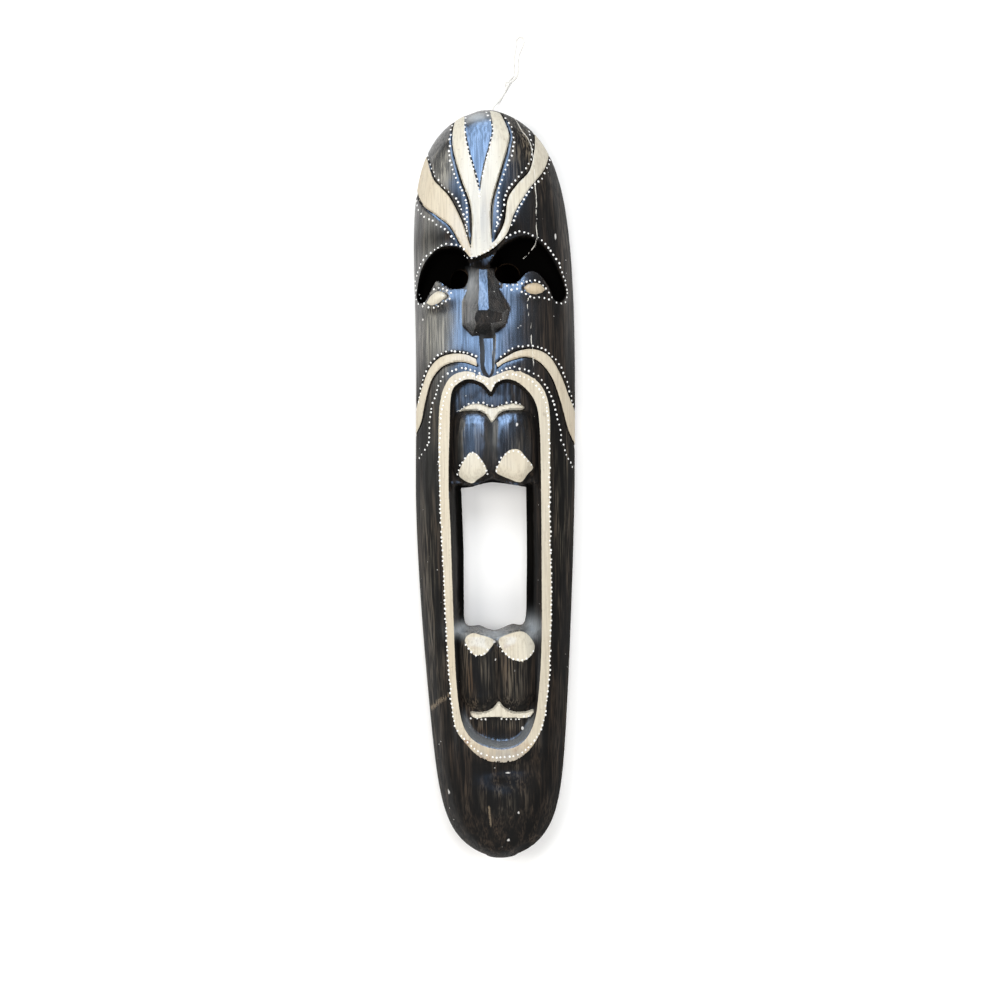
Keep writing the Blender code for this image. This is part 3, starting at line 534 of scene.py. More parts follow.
DEEP = [
    (450, 486), (456, 481.5), (464, 483.5), (471, 485), (480, 482.5), (490.5, 475.5), (497, 477.5),
    (507, 482), (518, 485), (527, 482.5), (535, 478), (540, 490), (541, 540), (541, 600), (538, 640),
    (531, 634.5), (521, 630), (507, 633.5), (496, 640), (487, 637.5), (470, 632.5), (458, 636),
    (453.6, 615), (451, 540),
]
OPENING = [
    (459.8, 487.5), (470, 486.6), (479, 484), (491, 481.8), (507, 483.3), (527, 486.5), (527.7, 540),
    (527.5, 585), (525.6, 625.5), (512.3, 628.2), (504, 631.5), (495.4, 634.5), (487, 633), (478.6, 629.6),
    (464.5, 628), (462.6, 602), (462.2, 550),
]
OPENING_CORNERS = OPENING[:1] + OPENING[5:6]
TOOTH_TIPS = [
    [(458.8, 475.5), (461.8, 464.5), (467, 456), (472.7, 452.4), (479, 456.5), (486.6, 470.6), (478, 478.8),
     (470.5, 483)],
    [(495.7, 471.8), (499.4, 463.3), (505.4, 453.6), (512, 449.3), (519, 449.6), (526, 457.2), (533.3, 467),
     (528.4, 473), (521, 481.8), (509, 478.6)],
    [(464.8, 641), (471.5, 634), (480, 635.7), (493.6, 641.2), (489.7, 649.5), (482.5, 656), (473, 654.4)],
    [(498.6, 642.4), (506.6, 635.7), (521, 631.8), (529.7, 637.4), (535, 647), (531, 656.5), (521, 661.5),
     (508, 657)],
]
HOLE_CORNERS = [(449, 258), (520, 289)]
GULLET_CORNERS = [(460, 482), (528, 630)]
MOUTH_CORNERS = [(450, 385), (541, 748)]
CHIN_SCOOP_AT = (508.5, 770.0, 31.0, 15.0)
CHIN_BULGE_AT = (509.0, 806.0, 34.0, 20.0)

# %% [markdown]
# ## The main forms
# Each form is a depth or a rise of the surface at a place. The eye hollows drop steeply from their rims
# and get shallow towards their outer tails. The teeth are long lobes that meet in a soft valley. The
# nose is cut with flat chisel facets, so its height is simply the lowest of a dozen slanted planes.

# %% The sizes of the carving
SOCKET_DEPTH = 0.034
SOCKET_TAIL_DEPTH = 0.013
SOCKET_LIP = 0.006
EYEBALL_RISE = 0.0036
EYEBALL_ROUND = 0.006
EYEBALL_LINE = 0.0022
LID_RISE = 0.005
NOSE_RISE = 0.022
BRIDGE_DEPTH = 0.012
BROW_STEP = 0.004
PHILTRUM_DEPTH = 0.0045
PHILTRUM_WALL = 0.0042
PHILTRUM_SLOPE = 0.0060
NOSE_FILLET = 0.0014
MOUTH_DEPTH = 0.015
MOUTH_LIP = 0.0036
LOW_MOUTH_LIP = 0.0095
TOOTH_RISE = 0.011
TOOTH_ROUND = 0.019
GUM_RISE = 0.007
GUM_EDGE = 0.0011
OPENING_DEPTH = 0.046
CHIN_SCOOP = 0.011
CHIN_BULGE = 0.004
GROOVE_DEPTH = 0.0026
GROOVE_BEVEL = 0.0036
GROOVE_WALL = 0.0008
WEDGE_DEPTH = 0.0016


# %% Helpers for the forms
def pillow(inner, round_over):
    """A rise with quarter round edges, from the depth inside its outline."""
    return np.sqrt(1 - (1 - clamp(inner / round_over)) ** 2)


def lobe(inner, round_over):
    """A rise that starts at a slant and rounds to its top, so that two of them meet in a soft valley."""
    return np.sin(clamp(inner / round_over) * math.pi / 2)


def soft_highest(first, second, fillet):
    """The higher of two surfaces, with a small fillet where they meet."""
    share = clamp(0.5 + 0.5 * (second - first) / fillet)
    return first + (second - first) * share + fillet * share * (1 - share) / 2


def facet(x, y, points):
    """Height over the crown of a flat facet through three picture points."""
    (x1, y1), (x2, y2), (x3, y3) = (on_mask(p) for p in points)
    h1, h2, h3 = (p[2] * NOSE_RISE for p in points)
    span = (x2 - x1) * (y3 - y1) - (x3 - x1) * (y2 - y1)
    slope_x = ((h2 - h1) * (y3 - y1) - (h3 - h1) * (y2 - y1)) / span
    slope_y = ((x2 - x1) * (h3 - h1) - (x3 - x1) * (h2 - h1)) / span
    return h1 + slope_x * (x - x1) + slope_y * (y - y1)


# %% Hand-made unevenness
WAVES = 7
ANY_PHASE = (0, 6.28)
WAVE_STRETCH = (0.6, 1.7)
WAVES_TOGETHER = 3.2
JITTER_CELLS = 64
JITTER = 0.3
RIDGE_SHARPNESS = 1.6


def wander(x, y, size, seed):
    """A gentle wandering of a surface, about -1 to 1, whose waves are about this long."""
    draw = np.random.default_rng(seed)
    total = np.zeros(np.shape(x))
    for _ in range(WAVES):
        heading, phase = draw.uniform(0, math.pi), draw.uniform(*ANY_PHASE)
        stretch = draw.uniform(*WAVE_STRETCH)
        wave = 2 * math.pi / (size * stretch)
        total = total + np.sin(wave * (x * math.cos(heading) + y * math.sin(heading)) + phase)
    return total / WAVES_TOGETHER


def gouge_marks(x, y, wide, long, seed):
    """Shallow scoops side by side, 0 in the middle of each and up to 1 at the ridges between them."""
    draw = np.random.default_rng(seed)
    jitter = draw.uniform(-JITTER, JITTER, (JITTER_CELLS, JITTER_CELLS, 2))
    u, v = x / wide, y / long
    cell_u, cell_v = np.floor(u), np.floor(v)
    nearest = np.full(np.shape(x), 9.0)
    for step_u in (-1, 0, 1):
        for step_v in (-1, 0, 1):
            at_u, at_v = cell_u + step_u, cell_v + step_v
            shift = jitter[at_u.astype(int) % JITTER_CELLS, at_v.astype(int) % JITTER_CELLS]
            away = (u - at_u - 0.5 - shift[..., 0]) ** 2 + (v - at_v - 0.5 - shift[..., 1]) ** 2
            nearest = np.minimum(nearest, away)
    return clamp(nearest * RIDGE_SHARPNESS)


# %% Eye hollows
HOLLOW_TOOL_MARKS = 0.0006
SOCKET_REACH = 0.007
SOCKET_GOUGES = (0.007, 0.012, 3)
SOCKET_START = 0.12
TAIL_FROM, TAIL_FADE = 16, 44


def sockets(x, y):
    """Depth of the two eye hollows, deepest at their holes and shallow at their outer tails."""
    deep = np.zeros(x.shape)
    for outline, hole in ((LEFT_SOCKET, LEFT_HOLE), (RIGHT_SOCKET, RIGHT_HOLE)):
        inner = inside_of(x, y, outline, SOCKET_REACH)
        centre = on_mask(hole[:2])
        away = np.hypot(x - centre[0], y - centre[1])
        tail = ease((away - pixels(TAIL_FROM)) / pixels(TAIL_FADE))
        floor = SOCKET_DEPTH + (SOCKET_TAIL_DEPTH - SOCKET_DEPTH) * tail
        floor = floor + HOLLOW_TOOL_MARKS * (gouge_marks(x, y, *SOCKET_GOUGES) - 0.5)
        deep = np.maximum(deep, floor * ease(inner / SOCKET_LIP + SOCKET_START) * (inner > 0))
    return deep


# %% Mouth
MOUTH_REACH = 0.011
GAP_TOP, GAP_BOTTOM, GAP_FADE = (495, 480), (495, 640), 14
LOW_MOUTH_AT, LOW_MOUTH_FADE = (495, 715), 20
TOOTH_REACH = 0.02
GUM_REACH = 0.002
GUM_START = 0.4
MOUTH_GOUGES = (0.008, 0.019, 5)
GOUGED_FROM = 0.004


def mouth(x, y):
    """Depth of everything inside the mouth's cream border."""
    inner = inside_of(x, y, BORDER_INNER, MOUTH_REACH, corners=NOTCHES)
    below_top = (on_mask(GAP_TOP)[1] - y) / pixels(GAP_FADE)
    above_bottom = (y - on_mask(GAP_BOTTOM)[1]) / pixels(GAP_FADE)
    in_gap = ease(below_top) * ease(above_bottom)
    low = ease((on_mask(LOW_MOUTH_AT)[1] - y) / pixels(LOW_MOUTH_FADE))
    deep = MOUTH_DEPTH * ease(inner / (MOUTH_LIP + (LOW_MOUTH_LIP - MOUTH_LIP) * low)) * (1 - in_gap)
    teeth = [UPPER_LEFT_TOOTH, UPPER_RIGHT_TOOTH, LOWER_LEFT_TOOTH, LOWER_RIGHT_TOOTH]
    rises = [lobe(inside_of(x, y, tooth, TOOTH_REACH), TOOTH_ROUND) for tooth in teeth]
    deep -= TOOTH_RISE * np.max(rises, axis=0)
    for gum in (UPPER_GUM, LOWER_GUM):
        rise = inside_of(x, y, gum, GUM_REACH)
        face = MOUTH_DEPTH - GUM_RISE * ease(rise / GUM_EDGE + GUM_START)
        deep = np.where(rise > 0, np.minimum(deep, face), deep)
    in_deep = inside_of(x, y, DEEP)
    from_opening = -inside_of(x, y, OPENING, corners=OPENING_CORNERS)
    share = clamp(in_deep / np.maximum(in_deep + np.maximum(from_opening, 0), 1e-6))
    deep = np.where(in_deep > 0, np.maximum(deep, OPENING_DEPTH * share), deep)
    gouges = HOLLOW_TOOL_MARKS * (gouge_marks(x, y, *MOUTH_GOUGES) - 0.5)
    deep = np.where(deep > GOUGED_FROM, deep + gouges, deep)
    return np.where(inner > 0, np.maximum(deep, 0.0), 0.0)


# %% All the main forms together
HAND_WANDER = 0.00045
HAND_WAVE = 0.055
HAND_SEED = 11
BRIDGE_AT, NOSE_TIP_AT = (483, 262), (483, 312)
BRIDGE_FADE, BRIDGE_HALF, BRIDGE_SHOULDER = 40, 11, 1.9
LID_SPREAD = (17, 11)
PHILTRUM_MIDDLE = (488, 355)
NOSE_LOWEST = -0.02
BROW_REACH, EYEBALL_REACH, PHILTRUM_REACH, SIDE_REACH = 0.05, 0.008, 0.01, 0.001


def forms(x, y):
    """Height of the front with its main forms and no knife cuts."""
    z = arch(x, y) + HAND_WANDER * wander(x, y, HAND_WAVE, HAND_SEED)
    z = z - np.maximum(sockets(x, y), mouth(x, y))
    below_brow = from_line(x, y, curve(BROW_EDGE), False, BROW_REACH)
    under = np.where(below_brow[1] < 0, ease(below_brow[0] / BROW_STEP), 0.0)
    fade = ease((y - on_mask(NOSE_TIP_AT)[1]) / pixels(BRIDGE_FADE))
    across = ease(BRIDGE_SHOULDER - np.abs(x - on_mask(BRIDGE_AT)[0]) / pixels(BRIDGE_HALF))
    z -= BRIDGE_DEPTH * under * fade * across
    for eyeball, tips, socket, lid in EYEBALLS:
        inner = inside_of(x, y, eyeball, EYEBALL_REACH, corners=tips)
        out = inside_of(x, y, socket, SIDE_REACH) < 0
        line = 0.5 * clamp(1 + inner / EYEBALL_LINE) * (inner < 0)
        z += LID_RISE * patch(x, y, *lid, *LID_SPREAD) * out
        z += EYEBALL_RISE * (pillow(inner, EYEBALL_ROUND) - line) * out
    nose = np.min([facet(x, y, points) for points in NOSE_FACETS], axis=0)
    trough = inside_of(x, y, PHILTRUM, PHILTRUM_REACH)
    wall = np.where(x < on_mask(PHILTRUM_MIDDLE)[0], PHILTRUM_SLOPE, PHILTRUM_WALL)
    z -= PHILTRUM_DEPTH * ease(trough / wall)
    z = np.where(nose > NOSE_LOWEST, soft_highest(z, CROWN + nose, NOSE_FILLET), z)
    outside_lip = inside_of(x, y, BORDER_OUTER, SIDE_REACH, corners=NOTCHES) < 0
    z -= CHIN_SCOOP * patch(x, y, *CHIN_SCOOP_AT) * outside_lip
    z += CHIN_BULGE * patch(x, y, *CHIN_BULGE_AT)
    return z


# %% [markdown]
# ## The knife cuts
# A band is edged with a knife: one steep cut along its edge, then a wide slanting cut that meets it. The
# wide side catches the light and the steep side is a thin dark line, which is what makes the bands look
# so crisp. The cuts are made square to the round log, as a carver holds the knife.

# %% Knife cuts
KNIFE_CUTS = [
    (INNER_LEFT, -1, GROOVE_DEPTH), (INNER_RIGHT, 1, GROOVE_DEPTH), (LEAF_UPPER, 1, GROOVE_DEPTH),
    (LEAF_LOWER, -1, GROOVE_DEPTH), (OUTER_UPPER, -1, GROOVE_DEPTH * 0.7),
    (OUTER_LOWER, 1, GROOVE_DEPTH / 2), (LEFT_LIP_UPPER, -1, GROOVE_DEPTH / 2),
    (LEFT_LIP_LOWER, 1, GROOVE_DEPTH), (RIGHT_LIP_UPPER, 1, GROOVE_DEPTH / 2),
    (RIGHT_LIP_LOWER, -1, GROOVE_DEPTH),
]
CUT_FADE = 0.03
CUT_AT_END = 0.35
WEDGE_EDGE = 0.002


def knife_cuts(x, y):
    """Depth of the V grooves that edge the bands, and of the sunk wedge between them."""
    cut = np.zeros(x.shape)
    for points, bevel_side, depth in KNIFE_CUTS:
        line = curve(points)
        distance, side, *_ = from_line(x, y, line, False, GROOVE_BEVEL)
        slope = np.where(side * bevel_side > 0, GROOVE_BEVEL, GROOVE_WALL)
        ends = np.min([np.hypot(x - end[0], y - end[1]) for end in (line[0], line[-1])], axis=0)
        full = CUT_AT_END + (1 - CUT_AT_END) * clamp(ends / CUT_FADE)
        cut = np.maximum(cut, depth * clamp(1 - distance / slope) * full)
    wedge = np.concatenate([curve(WEDGE_LEFT), curve(WEDGE_RIGHT)[::-1]])
    return np.maximum(cut, WEDGE_DEPTH * ease(depth_inside(x, y, wedge) / WEDGE_EDGE))


def front_places(x, y):
    """The carved front: the main forms, and the knife cuts square to the log's surface."""
    z = forms(x, y)
    across = np.clip((x - middle(y)) / half_width(y), -1, 1)
    lean = across / half_width(y)
    rise = np.sqrt(1 - across**2) / (crown(y) - SIDE_EDGE)
    cut = knife_cuts(x, y) / np.hypot(lean, rise)
    return np.stack([x - lean * cut, y, z - rise * cut], axis=-1)


# %% [markdown]
# ## The hollow back
# Such masks are hollowed behind, to make them light and to stop the wood from splitting, and the rim is
# left flat so that they lie well on a wall. The back follows the front at a wall's thickness, with more
# wood left behind the eyes and the mouth, and it shows the scoops of a wide gouge.

# %% The back
BACK_GOUGE = 0.0011
BACK_GOUGES = (0.021, 0.047, 8)
BACK_GOUGE_FADE = 0.012
BACK_END_POWER = 8
BACK_END_WIDTH = 0.35
RIM_STATION = 2.0
THICK_PLACES = (
    (HOLE_CORNERS, 0.012, SOCKET_DEPTH), (GULLET_CORNERS, 0.004, OPENING_DEPTH),
    (MOUTH_CORNERS, 0.0, MOUTH_DEPTH),
)


def soft_box(x, y, corners, margin):
    """1 over a box between two picture points and a margin round it, falling gently to 0 outside."""
    (left, top), (right, bottom) = (on_mask(corner) for corner in corners)
    beside = np.maximum(left - margin - x, x - right - margin)
    beyond = np.maximum(bottom - margin - y, y - top - margin)
    return ease(1 - beside / GOUGE_SLOPE) * ease(1 - beyond / GOUGE_SLOPE)


def back_places(y, across):
    """The back: a flat rim, and inside it a hollow that follows the front at a wall's thickness."""
    ends = np.sqrt(1 - np.minimum(np.abs(y) / (LENGTH / 2 - END_RIM), 1) ** BACK_END_POWER)
    half = half_width(y)
    x = middle(y) + (half - RIM_WIDTH) * (BACK_END_WIDTH + (1 - BACK_END_WIDTH) * ends) * across
    outer = np.abs(across) > 1
    x = np.where(outer, middle(y) + half * np.sign(across), x)
    z = (crown(y) - WALL) * ends * np.sqrt(1 - np.minimum(np.abs(across), 1) ** 2)
    extra = np.zeros(x.shape)
    for corners, margin, depth in THICK_PLACES:
        extra = np.maximum(extra, max(depth + CARVED_WALL - WALL, 0.0) * soft_box(x, y, corners, margin))
    z = z - extra - BACK_GOUGE * gouge_marks(x, y, *BACK_GOUGES) * ease(z / BACK_GOUGE_FADE)
    z = np.minimum(z, forms(x, y) - THINNEST_WALL)
    return np.stack([x, y, np.where(outer, 0.0, np.maximum(z, 0.0))], axis=-1)


# %% [markdown]
# ## Laying the surface
# A fine sheet of squares is laid over the log, thickened by extruding it, and both of its faces are
# moved to the shapes above. A sheet has no idea where the carving's edges run, and they would come out
# as small steps, so the points that almost lie on an edge are first pulled on to it. The plain parts
# need few triangles, so the mesh is thinned before the holes are cut through it.

# %% Pulling the sheet's points on to the edges
PULL_TO_EDGE = 0.00075
FOOT_OF_SOCKET = SOCKET_LIP * (1 - SOCKET_START)
SMALL_STEP = 1e-4
NOSE_PULL_FROM = -0.0012
PULLED_WIDTH = 0.985


def edges_of_carving():
    """The outlines that the surface breaks at: the line, whether it is closed, and how far inside it."""
    open_ones = [points for points, _, _ in KNIFE_CUTS] + [WEDGE_LEFT, WEDGE_RIGHT, BROW_EDGE]
    found = [(curve(points), False, 0.0) for points in open_ones]
    closed_ones = [LEFT_SOCKET, RIGHT_SOCKET, PHILTRUM, DEEP, UPPER_GUM, LOWER_GUM, *TOOTH_TIPS]
    found += [(curve(points, closed=True), True, 0.0) for points in closed_ones]
    found += [(curve(points, closed=True), True, FOOT_OF_SOCKET) for points in (LEFT_SOCKET, RIGHT_SOCKET)]
    found += [(curve(points, closed=True, corners=tips), True, 0.0) for points, tips, _, _ in EYEBALLS]
    lip, throat = (curve(points, closed=True, corners=NOTCHES) for points in (BORDER_OUTER, BORDER_INNER))
    return found + [(lip, True, 0.0), (throat, True, 0.0), (throat, True, MOUTH_LIP)]


def pull_to_facets(x, y):
    """Moves the nose's points that are almost on a ridge between two flat facets on to it."""
    heights = np.array([facet(x, y, points) for points in NOSE_FACETS])
    at_zero = np.array([facet(0.0, 0.0, points) for points in NOSE_FACETS])
    slopes_x = (np.array([facet(SMALL_STEP, 0.0, p) for p in NOSE_FACETS]) - at_zero) / SMALL_STEP
    slopes_y = (np.array([facet(0.0, SMALL_STEP, p) for p in NOSE_FACETS]) - at_zero) / SMALL_STEP
    order = np.argsort(heights, axis=0)
    lowest, next_one = order[0], order[1]
    gap = np.take_along_axis(heights, order[1:2], 0)[0] - np.take_along_axis(heights, order[:1], 0)[0]
    lean_x, lean_y = slopes_x[lowest] - slopes_x[next_one], slopes_y[lowest] - slopes_y[next_one]
    steep = lean_x**2 + lean_y**2 + 1e-9
    here = (gap / np.sqrt(steep) < PULL_TO_EDGE) & (heights.min(axis=0) > NOSE_PULL_FROM)
    return x + np.where(here, gap * lean_x / steep, 0.0), y + np.where(here, gap * lean_y / steep, 0.0)


def pull_to_edges(x, y):
    """Moves the points that are almost on an outline, or on the foot of its wall, on to it."""
    best, new_x, new_y = np.full(x.shape, PULL_TO_EDGE), *pull_to_facets(x, y)
    inner = np.abs(x - middle(y)) < half_width(y) * PULLED_WIDTH
    for line, closed, within in edges_of_carving():
        distance, _, inside, to_x, to_y = from_line(x, y, line, closed, within + PULL_TO_EDGE)
        off = np.abs(distance - within)
        closer = inner & (off < best) & (inside | (within == 0.0))
        keep = within / np.maximum(distance[closer], 1e-9)
        best[closer] = off[closer]
        new_x[closer] = to_x[closer] + (x[closer] - to_x[closer]) * keep
        new_y[closer] = to_y[closer] + (y[closer] - to_y[closer]) * keep
    return new_x, new_y


# %% The sheet
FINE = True
ROWS = 681 if FINE else 341
COLUMNS = 233 if FINE else 117
MOST_TRIANGLES = 165000 if FINE else 90000
END_CROWDING = 1.25


def lay_sheet():
    """The carved front and the hollow back as one closed mesh."""
    turn = np.linspace(-1, 1, ROWS)
    y_rows = np.sign(turn) * (1 - (1 - np.abs(turn)) ** END_CROWDING) * LENGTH / 2
    angles = np.linspace(-math.pi / 2, math.pi / 2, COLUMNS)
    grid_y, grid_angle = np.meshgrid(y_rows, angles, indexing="ij")
    front = front_places(*pull_to_edges(middle(grid_y) + half_width(grid_y) * np.sin(grid_angle), grid_y))
    inside = np.sin(np.linspace(-math.pi / 2, math.pi / 2, COLUMNS - 2))
    stations = np.concatenate([[-RIM_STATION], inside, [RIM_STATION]])
    back = back_places(grid_y, np.broadcast_to(stations, grid_y.shape))
    sheet = bmesh.new()
    bmesh.ops.create_grid(sheet, x_segments=COLUMNS - 1, y_segments=ROWS - 1, size=1)
    for vert, place in zip(sheet.verts, front.reshape(-1, 3)):
        vert.co = place
    grid = list(sheet.verts)
    made = bmesh.ops.extrude_face_region(sheet, geom=sheet.faces[:])
    copies = {tuple(v.co): v for v in made["geom"] if isinstance(v, bmesh.types.BMVert)}
    for vert, place in zip(grid, back.reshape(-1, 3)):
        copies[tuple(vert.co)].co = place
    bmesh.ops.recalc_face_normals(sheet, faces=sheet.faces[:])
    return as_mesh("mask_sheet", sheet)


sheet_mesh = lay_sheet()
print(f"the sheet has {len(sheet_mesh.polygons)} squares")

# %% Cutters for the holes
CORD_HOLE_DIAMETER = 0.0045
CORD_HOLE_DEPTH = 0.016
CORD_HOLE_SIDES = 24


def prism(cutters, line):
    """Adds a closed outline to the cutters, run right through the mask."""
    ring = [cutters.verts.new((px, py, -CROWN / 2)) for px, py in line]
    risen = bmesh.ops.extrude_face_region(cutters, geom=[cutters.faces.new(ring)])
    top = [v for v in risen["geom"] if isinstance(v, bmesh.types.BMVert)]
    bmesh.ops.translate(cutters, verts=top, vec=(0, 0, CROWN * 2))


cutters = bmesh.new()
for outline in (
    ellipse(*LEFT_HOLE), ellipse(*RIGHT_HOLE), curve(OPENING, closed=True, corners=OPENING_CORNERS),
):
    prism(cutters, outline)
drill_at = Matrix.Translation((STRING_EXIT[0], LENGTH / 2, STRING_EXIT[2]))
bmesh.ops.create_cone(
    cutters, cap_ends=True, segments=CORD_HOLE_SIDES, radius1=CORD_HOLE_DIAMETER / 2,
    radius2=CORD_HOLE_DIAMETER / 2, depth=CORD_HOLE_DEPTH * 2,
    matrix=drill_at @ Matrix.Rotation(math.pi / 2, 4, "X"),
)
bmesh.ops.recalc_face_normals(cutters, faces=cutters.faces[:])
cutter_mesh = as_mesh("hole_cutters", cutters)

# %% Thinning the plain parts and cutting the holes
SHARP_ANGLE = math.radians(32)
NOSE_SHARP_ANGLE = math.radians(9)
NOSE_LEFT, NOSE_RIGHT = on_mask((455, 300))[0], on_mask((513, 300))[0]
NOSE_FOOT, NOSE_TOP = on_mask((485, 337))[1], on_mask((485, 262))[1]
NOSE_OVER_LOG = 0.001


def carve(sheet_mesh, cutter_mesh):
    """The finished mask's mesh, with its modifiers worked into it."""
    block, cutter = put_in_scene("block", sheet_mesh), put_in_scene("cutters", cutter_mesh)
    fewer = block.modifiers.new("fewer", "DECIMATE")
    fewer.ratio = MOST_TRIANGLES / (4 * (ROWS - 1) * (COLUMNS - 1))
    cut = block.modifiers.new("cut", "BOOLEAN")
    cut.operation = "DIFFERENCE"
    cut.solver = "EXACT"
    cut.object = cutter
    ready = block.evaluated_get(bpy.context.evaluated_depsgraph_get())
    mesh = bpy.data.meshes.new_from_object(ready)
    for thing in (block, cutter):
        bpy.data.objects.remove(thing, do_unlink=True)
    return mesh


mask_mesh = carve(sheet_mesh, cutter_mesh)
mask_mesh.name = "carved_face"
mask_mesh.polygons.foreach_set("use_smooth", [True] * len(mask_mesh.polygons))
mask_mesh.set_sharp_from_angle(angle=SHARP_ANGLE)


def sharpen_nose(mesh):
    """The chisel facets of the nose meet at much smaller angles, so these edges are made sharp too."""
    shape = bmesh.new()
    shape.from_mesh(mesh)
    for edge in shape.edges:
        at = (edge.verts[0].co + edge.verts[1].co) / 2
        on_nose = NOSE_LEFT < at.x < NOSE_RIGHT and NOSE_FOOT < at.y < NOSE_TOP
        if on_nose and at.z > CROWN + NOSE_OVER_LOG and len(edge.link_faces) == 2:
            if edge.calc_face_angle() > NOSE_SHARP_ANGLE:
                edge.smooth = False
    shape.to_mesh(mesh)
    shape.free()


sharpen_nose(mask_mesh)
mask_mesh.calc_loop_triangles()
print(f"the mask has {len(mask_mesh.loop_triangles)} triangles")

# %% [markdown]
# ## Where the pale wood shows
# The stain and the pale bands are one surface, so the colour has to change along exact lines without an
# edge in the mesh. A texture map could hold that, but it would need a lot of pixels. Here each point of
# the mesh remembers how many millimetres it is inside the nearest pale shape. The material later turns
# that distance into a clean, slightly shaky edge, as a brush or a knife leaves it.

# %% Cracks, scratches, chips and one painted glint, as seen: points in pixels, and widths
CRACK = [
    (514.4, 118), (521.5, 130), (527, 137), (530.4, 144), (533.6, 160), (535, 185), (536.5, 202),
    (535.7, 219), (536.8, 238), (531, 247), (523.4, 254),
]
LOWER_CRACK = [
    (528.5, 297.6), (527.5, 305), (529, 316), (530.7, 322), (531.4, 341), (532.7, 354), (534, 368),
]
SCUFFS = [
    ((431.5, 706.6), (448.5, 694.5), 4.5), ((555.5, 233), (555.5, 240), 1.6), ((489, 806), (491, 826), 2.6),
]
# A chip, or the painted glint, is x, y, its size across and down in pixels, and its strength
CHIPS_AND_GLINT = [
    (448.8, 792, 1.2, 2.6, 1.0), (518.5, 812, 1.3, 1.8, 0.85), (508.5, 840, 1.8, 1.5, 1.0),
    (423, 320, 1.3, 1.6, 0.9), (445, 340, 1.5, 1.2, 0.9), (521.5, 326, 1.3, 1.6, 0.9),
    (517, 423.5, 1.2, 1.4, 0.9), (555.5, 236, 1, 3, 0.9), (495.7, 660.5, 1.4, 1.1, 0.9),
    (515, 670.6, 1.1, 1.1, 0.9), (522.7, 730.3, 1.4, 2, 0.9), (494.3, 642.8, 1.6, 1.4, 0.9),
    # Not a chip: a painted glint on the wall under the lip
    (508.5, 774.5, 2.4, 1.2, 1.0),
]

# %% Places with a finish, a painted shade or a painted sheen of their own: x, y, spread across and down in pixels, and strength
RUBBED_PLACES = [
    (432, 330, 14, 26, 1.0), (440, 165, 11, 24, 1.1), (523, 145, 12, 28, 1.5), (425, 250, 8, 20, 0.4),
    (484, 632, 26, 6, 1.0), (515, 634, 14, 5, 0.9), (500, 746, 26, 4, 0.7), (475, 672, 12, 30, 0.95),
    (512, 676, 12, 24, 0.5), (470, 440, 10, 22, 0.5), (514, 440, 10, 22, 0.4), (500, 800, 26, 14, 0.25),
    (430, 620, 8, 120, 0.3), (448, 345, 8, 30, 0.4), (500, 728, 24, 6, 0.6), (562, 500, 8, 60, 0.35),
    (477, 116, 9, 7, 0.9),
]
WAXED_PLACES = [
    (475, 420, 13, 13, 0.9), (509, 418, 12, 10, 1.0), (530, 452, 4, 18, 0.9), (488, 632, 34, 9, 1.0),
    (500, 745, 34, 7, 0.45), (484, 395, 34, 9, 0.22), (508, 774, 9, 3, 0.2), (491, 440, 7, 26, 0.5),
    (562, 294, 5, 7, 0.8), (485, 268, 8, 3, 0.6), (472, 446, 9, 20, 0.25), (512, 444, 11, 22, 0.5),
    (489, 352, 7, 16, 0.9), (455, 335, 16, 18, 0.4), (516, 335, 18, 20, 0.35), (477, 116, 10, 6, 1.0),
]
# Painted shade: under the nose and beside its wings, on the philtrum's left wall and under the brow
SHADED_PLACES = [
    (483, 331, 14, 4.5, 0.85), (466, 327, 4, 5, 0.6), (500, 329, 6, 5, 0.6), (482.2, 352, 1.8, 16, 0.15),
    (482, 262, 15, 6, 0.75),
]
DULL_PLACES = [
    (514, 228, 19, 21, 1.0), (483, 263, 18, 7, 1.4), (500, 238, 7, 9, 0.9), (500, 782, 32, 14, 1.0),
    (483, 305, 6, 12, 0.35), (457, 244, 9, 6, 0.5),
]
BEVELLED_PLACES = [(457, 208, 12, 30, 1.0), (440, 238, 27, 14, 0.85), (504, 205, 8, 34, 0.9)]
GREY_PLACES = [
    (500, 756, 32, 9, 0.85), (481, 218, 9, 32, 0.6), (533, 420, 6, 30, 0.2), (514, 797, 18, 17, 0.09),
    (487, 800, 7, 22, 0.10),
]
# Painted sheen: lit faces of the nose, the wedge's top, the mouth's ledge and walls and the philtrum
PAINTED_SHEEN_PLACES = [
    (472, 290, 6, 14, 0.66), (477, 117, 11, 6.5, 0.95), (459, 631, 9, 6, 0.9), (533, 629, 8, 11, 0.85),
    (496, 637, 26, 4, 0.8), (454.5, 690, 2.5, 45, 0.10), (539.5, 680, 2.5, 45, 0.14),
    (491, 440, 6, 24, 0.08), (482.5, 352, 2.2, 20, 0.16), (494, 352, 1.4, 20, 0.2), (468, 319, 4, 6, 0.2),
]
UMBER_PLACES = [
    (472, 680, 9, 30, 1.0), (505, 665, 8, 30, 0.6), (485, 735, 14, 8, 1.0), (505, 733, 14, 8, 0.6),
    (523, 148, 14, 26, 0.45), (466, 742, 6, 5, 0.9), (521, 749, 8, 4, 0.9), (486, 759, 12, 4, 0.8),
]
DULL_CUTS = [OUTER_UPPER, OUTER_LOWER, RIGHT_LIP_UPPER]
BROW_CUTS = [INNER_LEFT, INNER_RIGHT, LEAF_UPPER, LEAF_LOWER]

# %% How far inside the pale shapes a place is
PALE_REACH = 0.004


def band(x, y, upper, lower):
    """How far inside a band a place is, from its two edges."""
    return depth_inside(x, y, np.concatenate([curve(upper), curve(lower)[::-1]]), PALE_REACH)


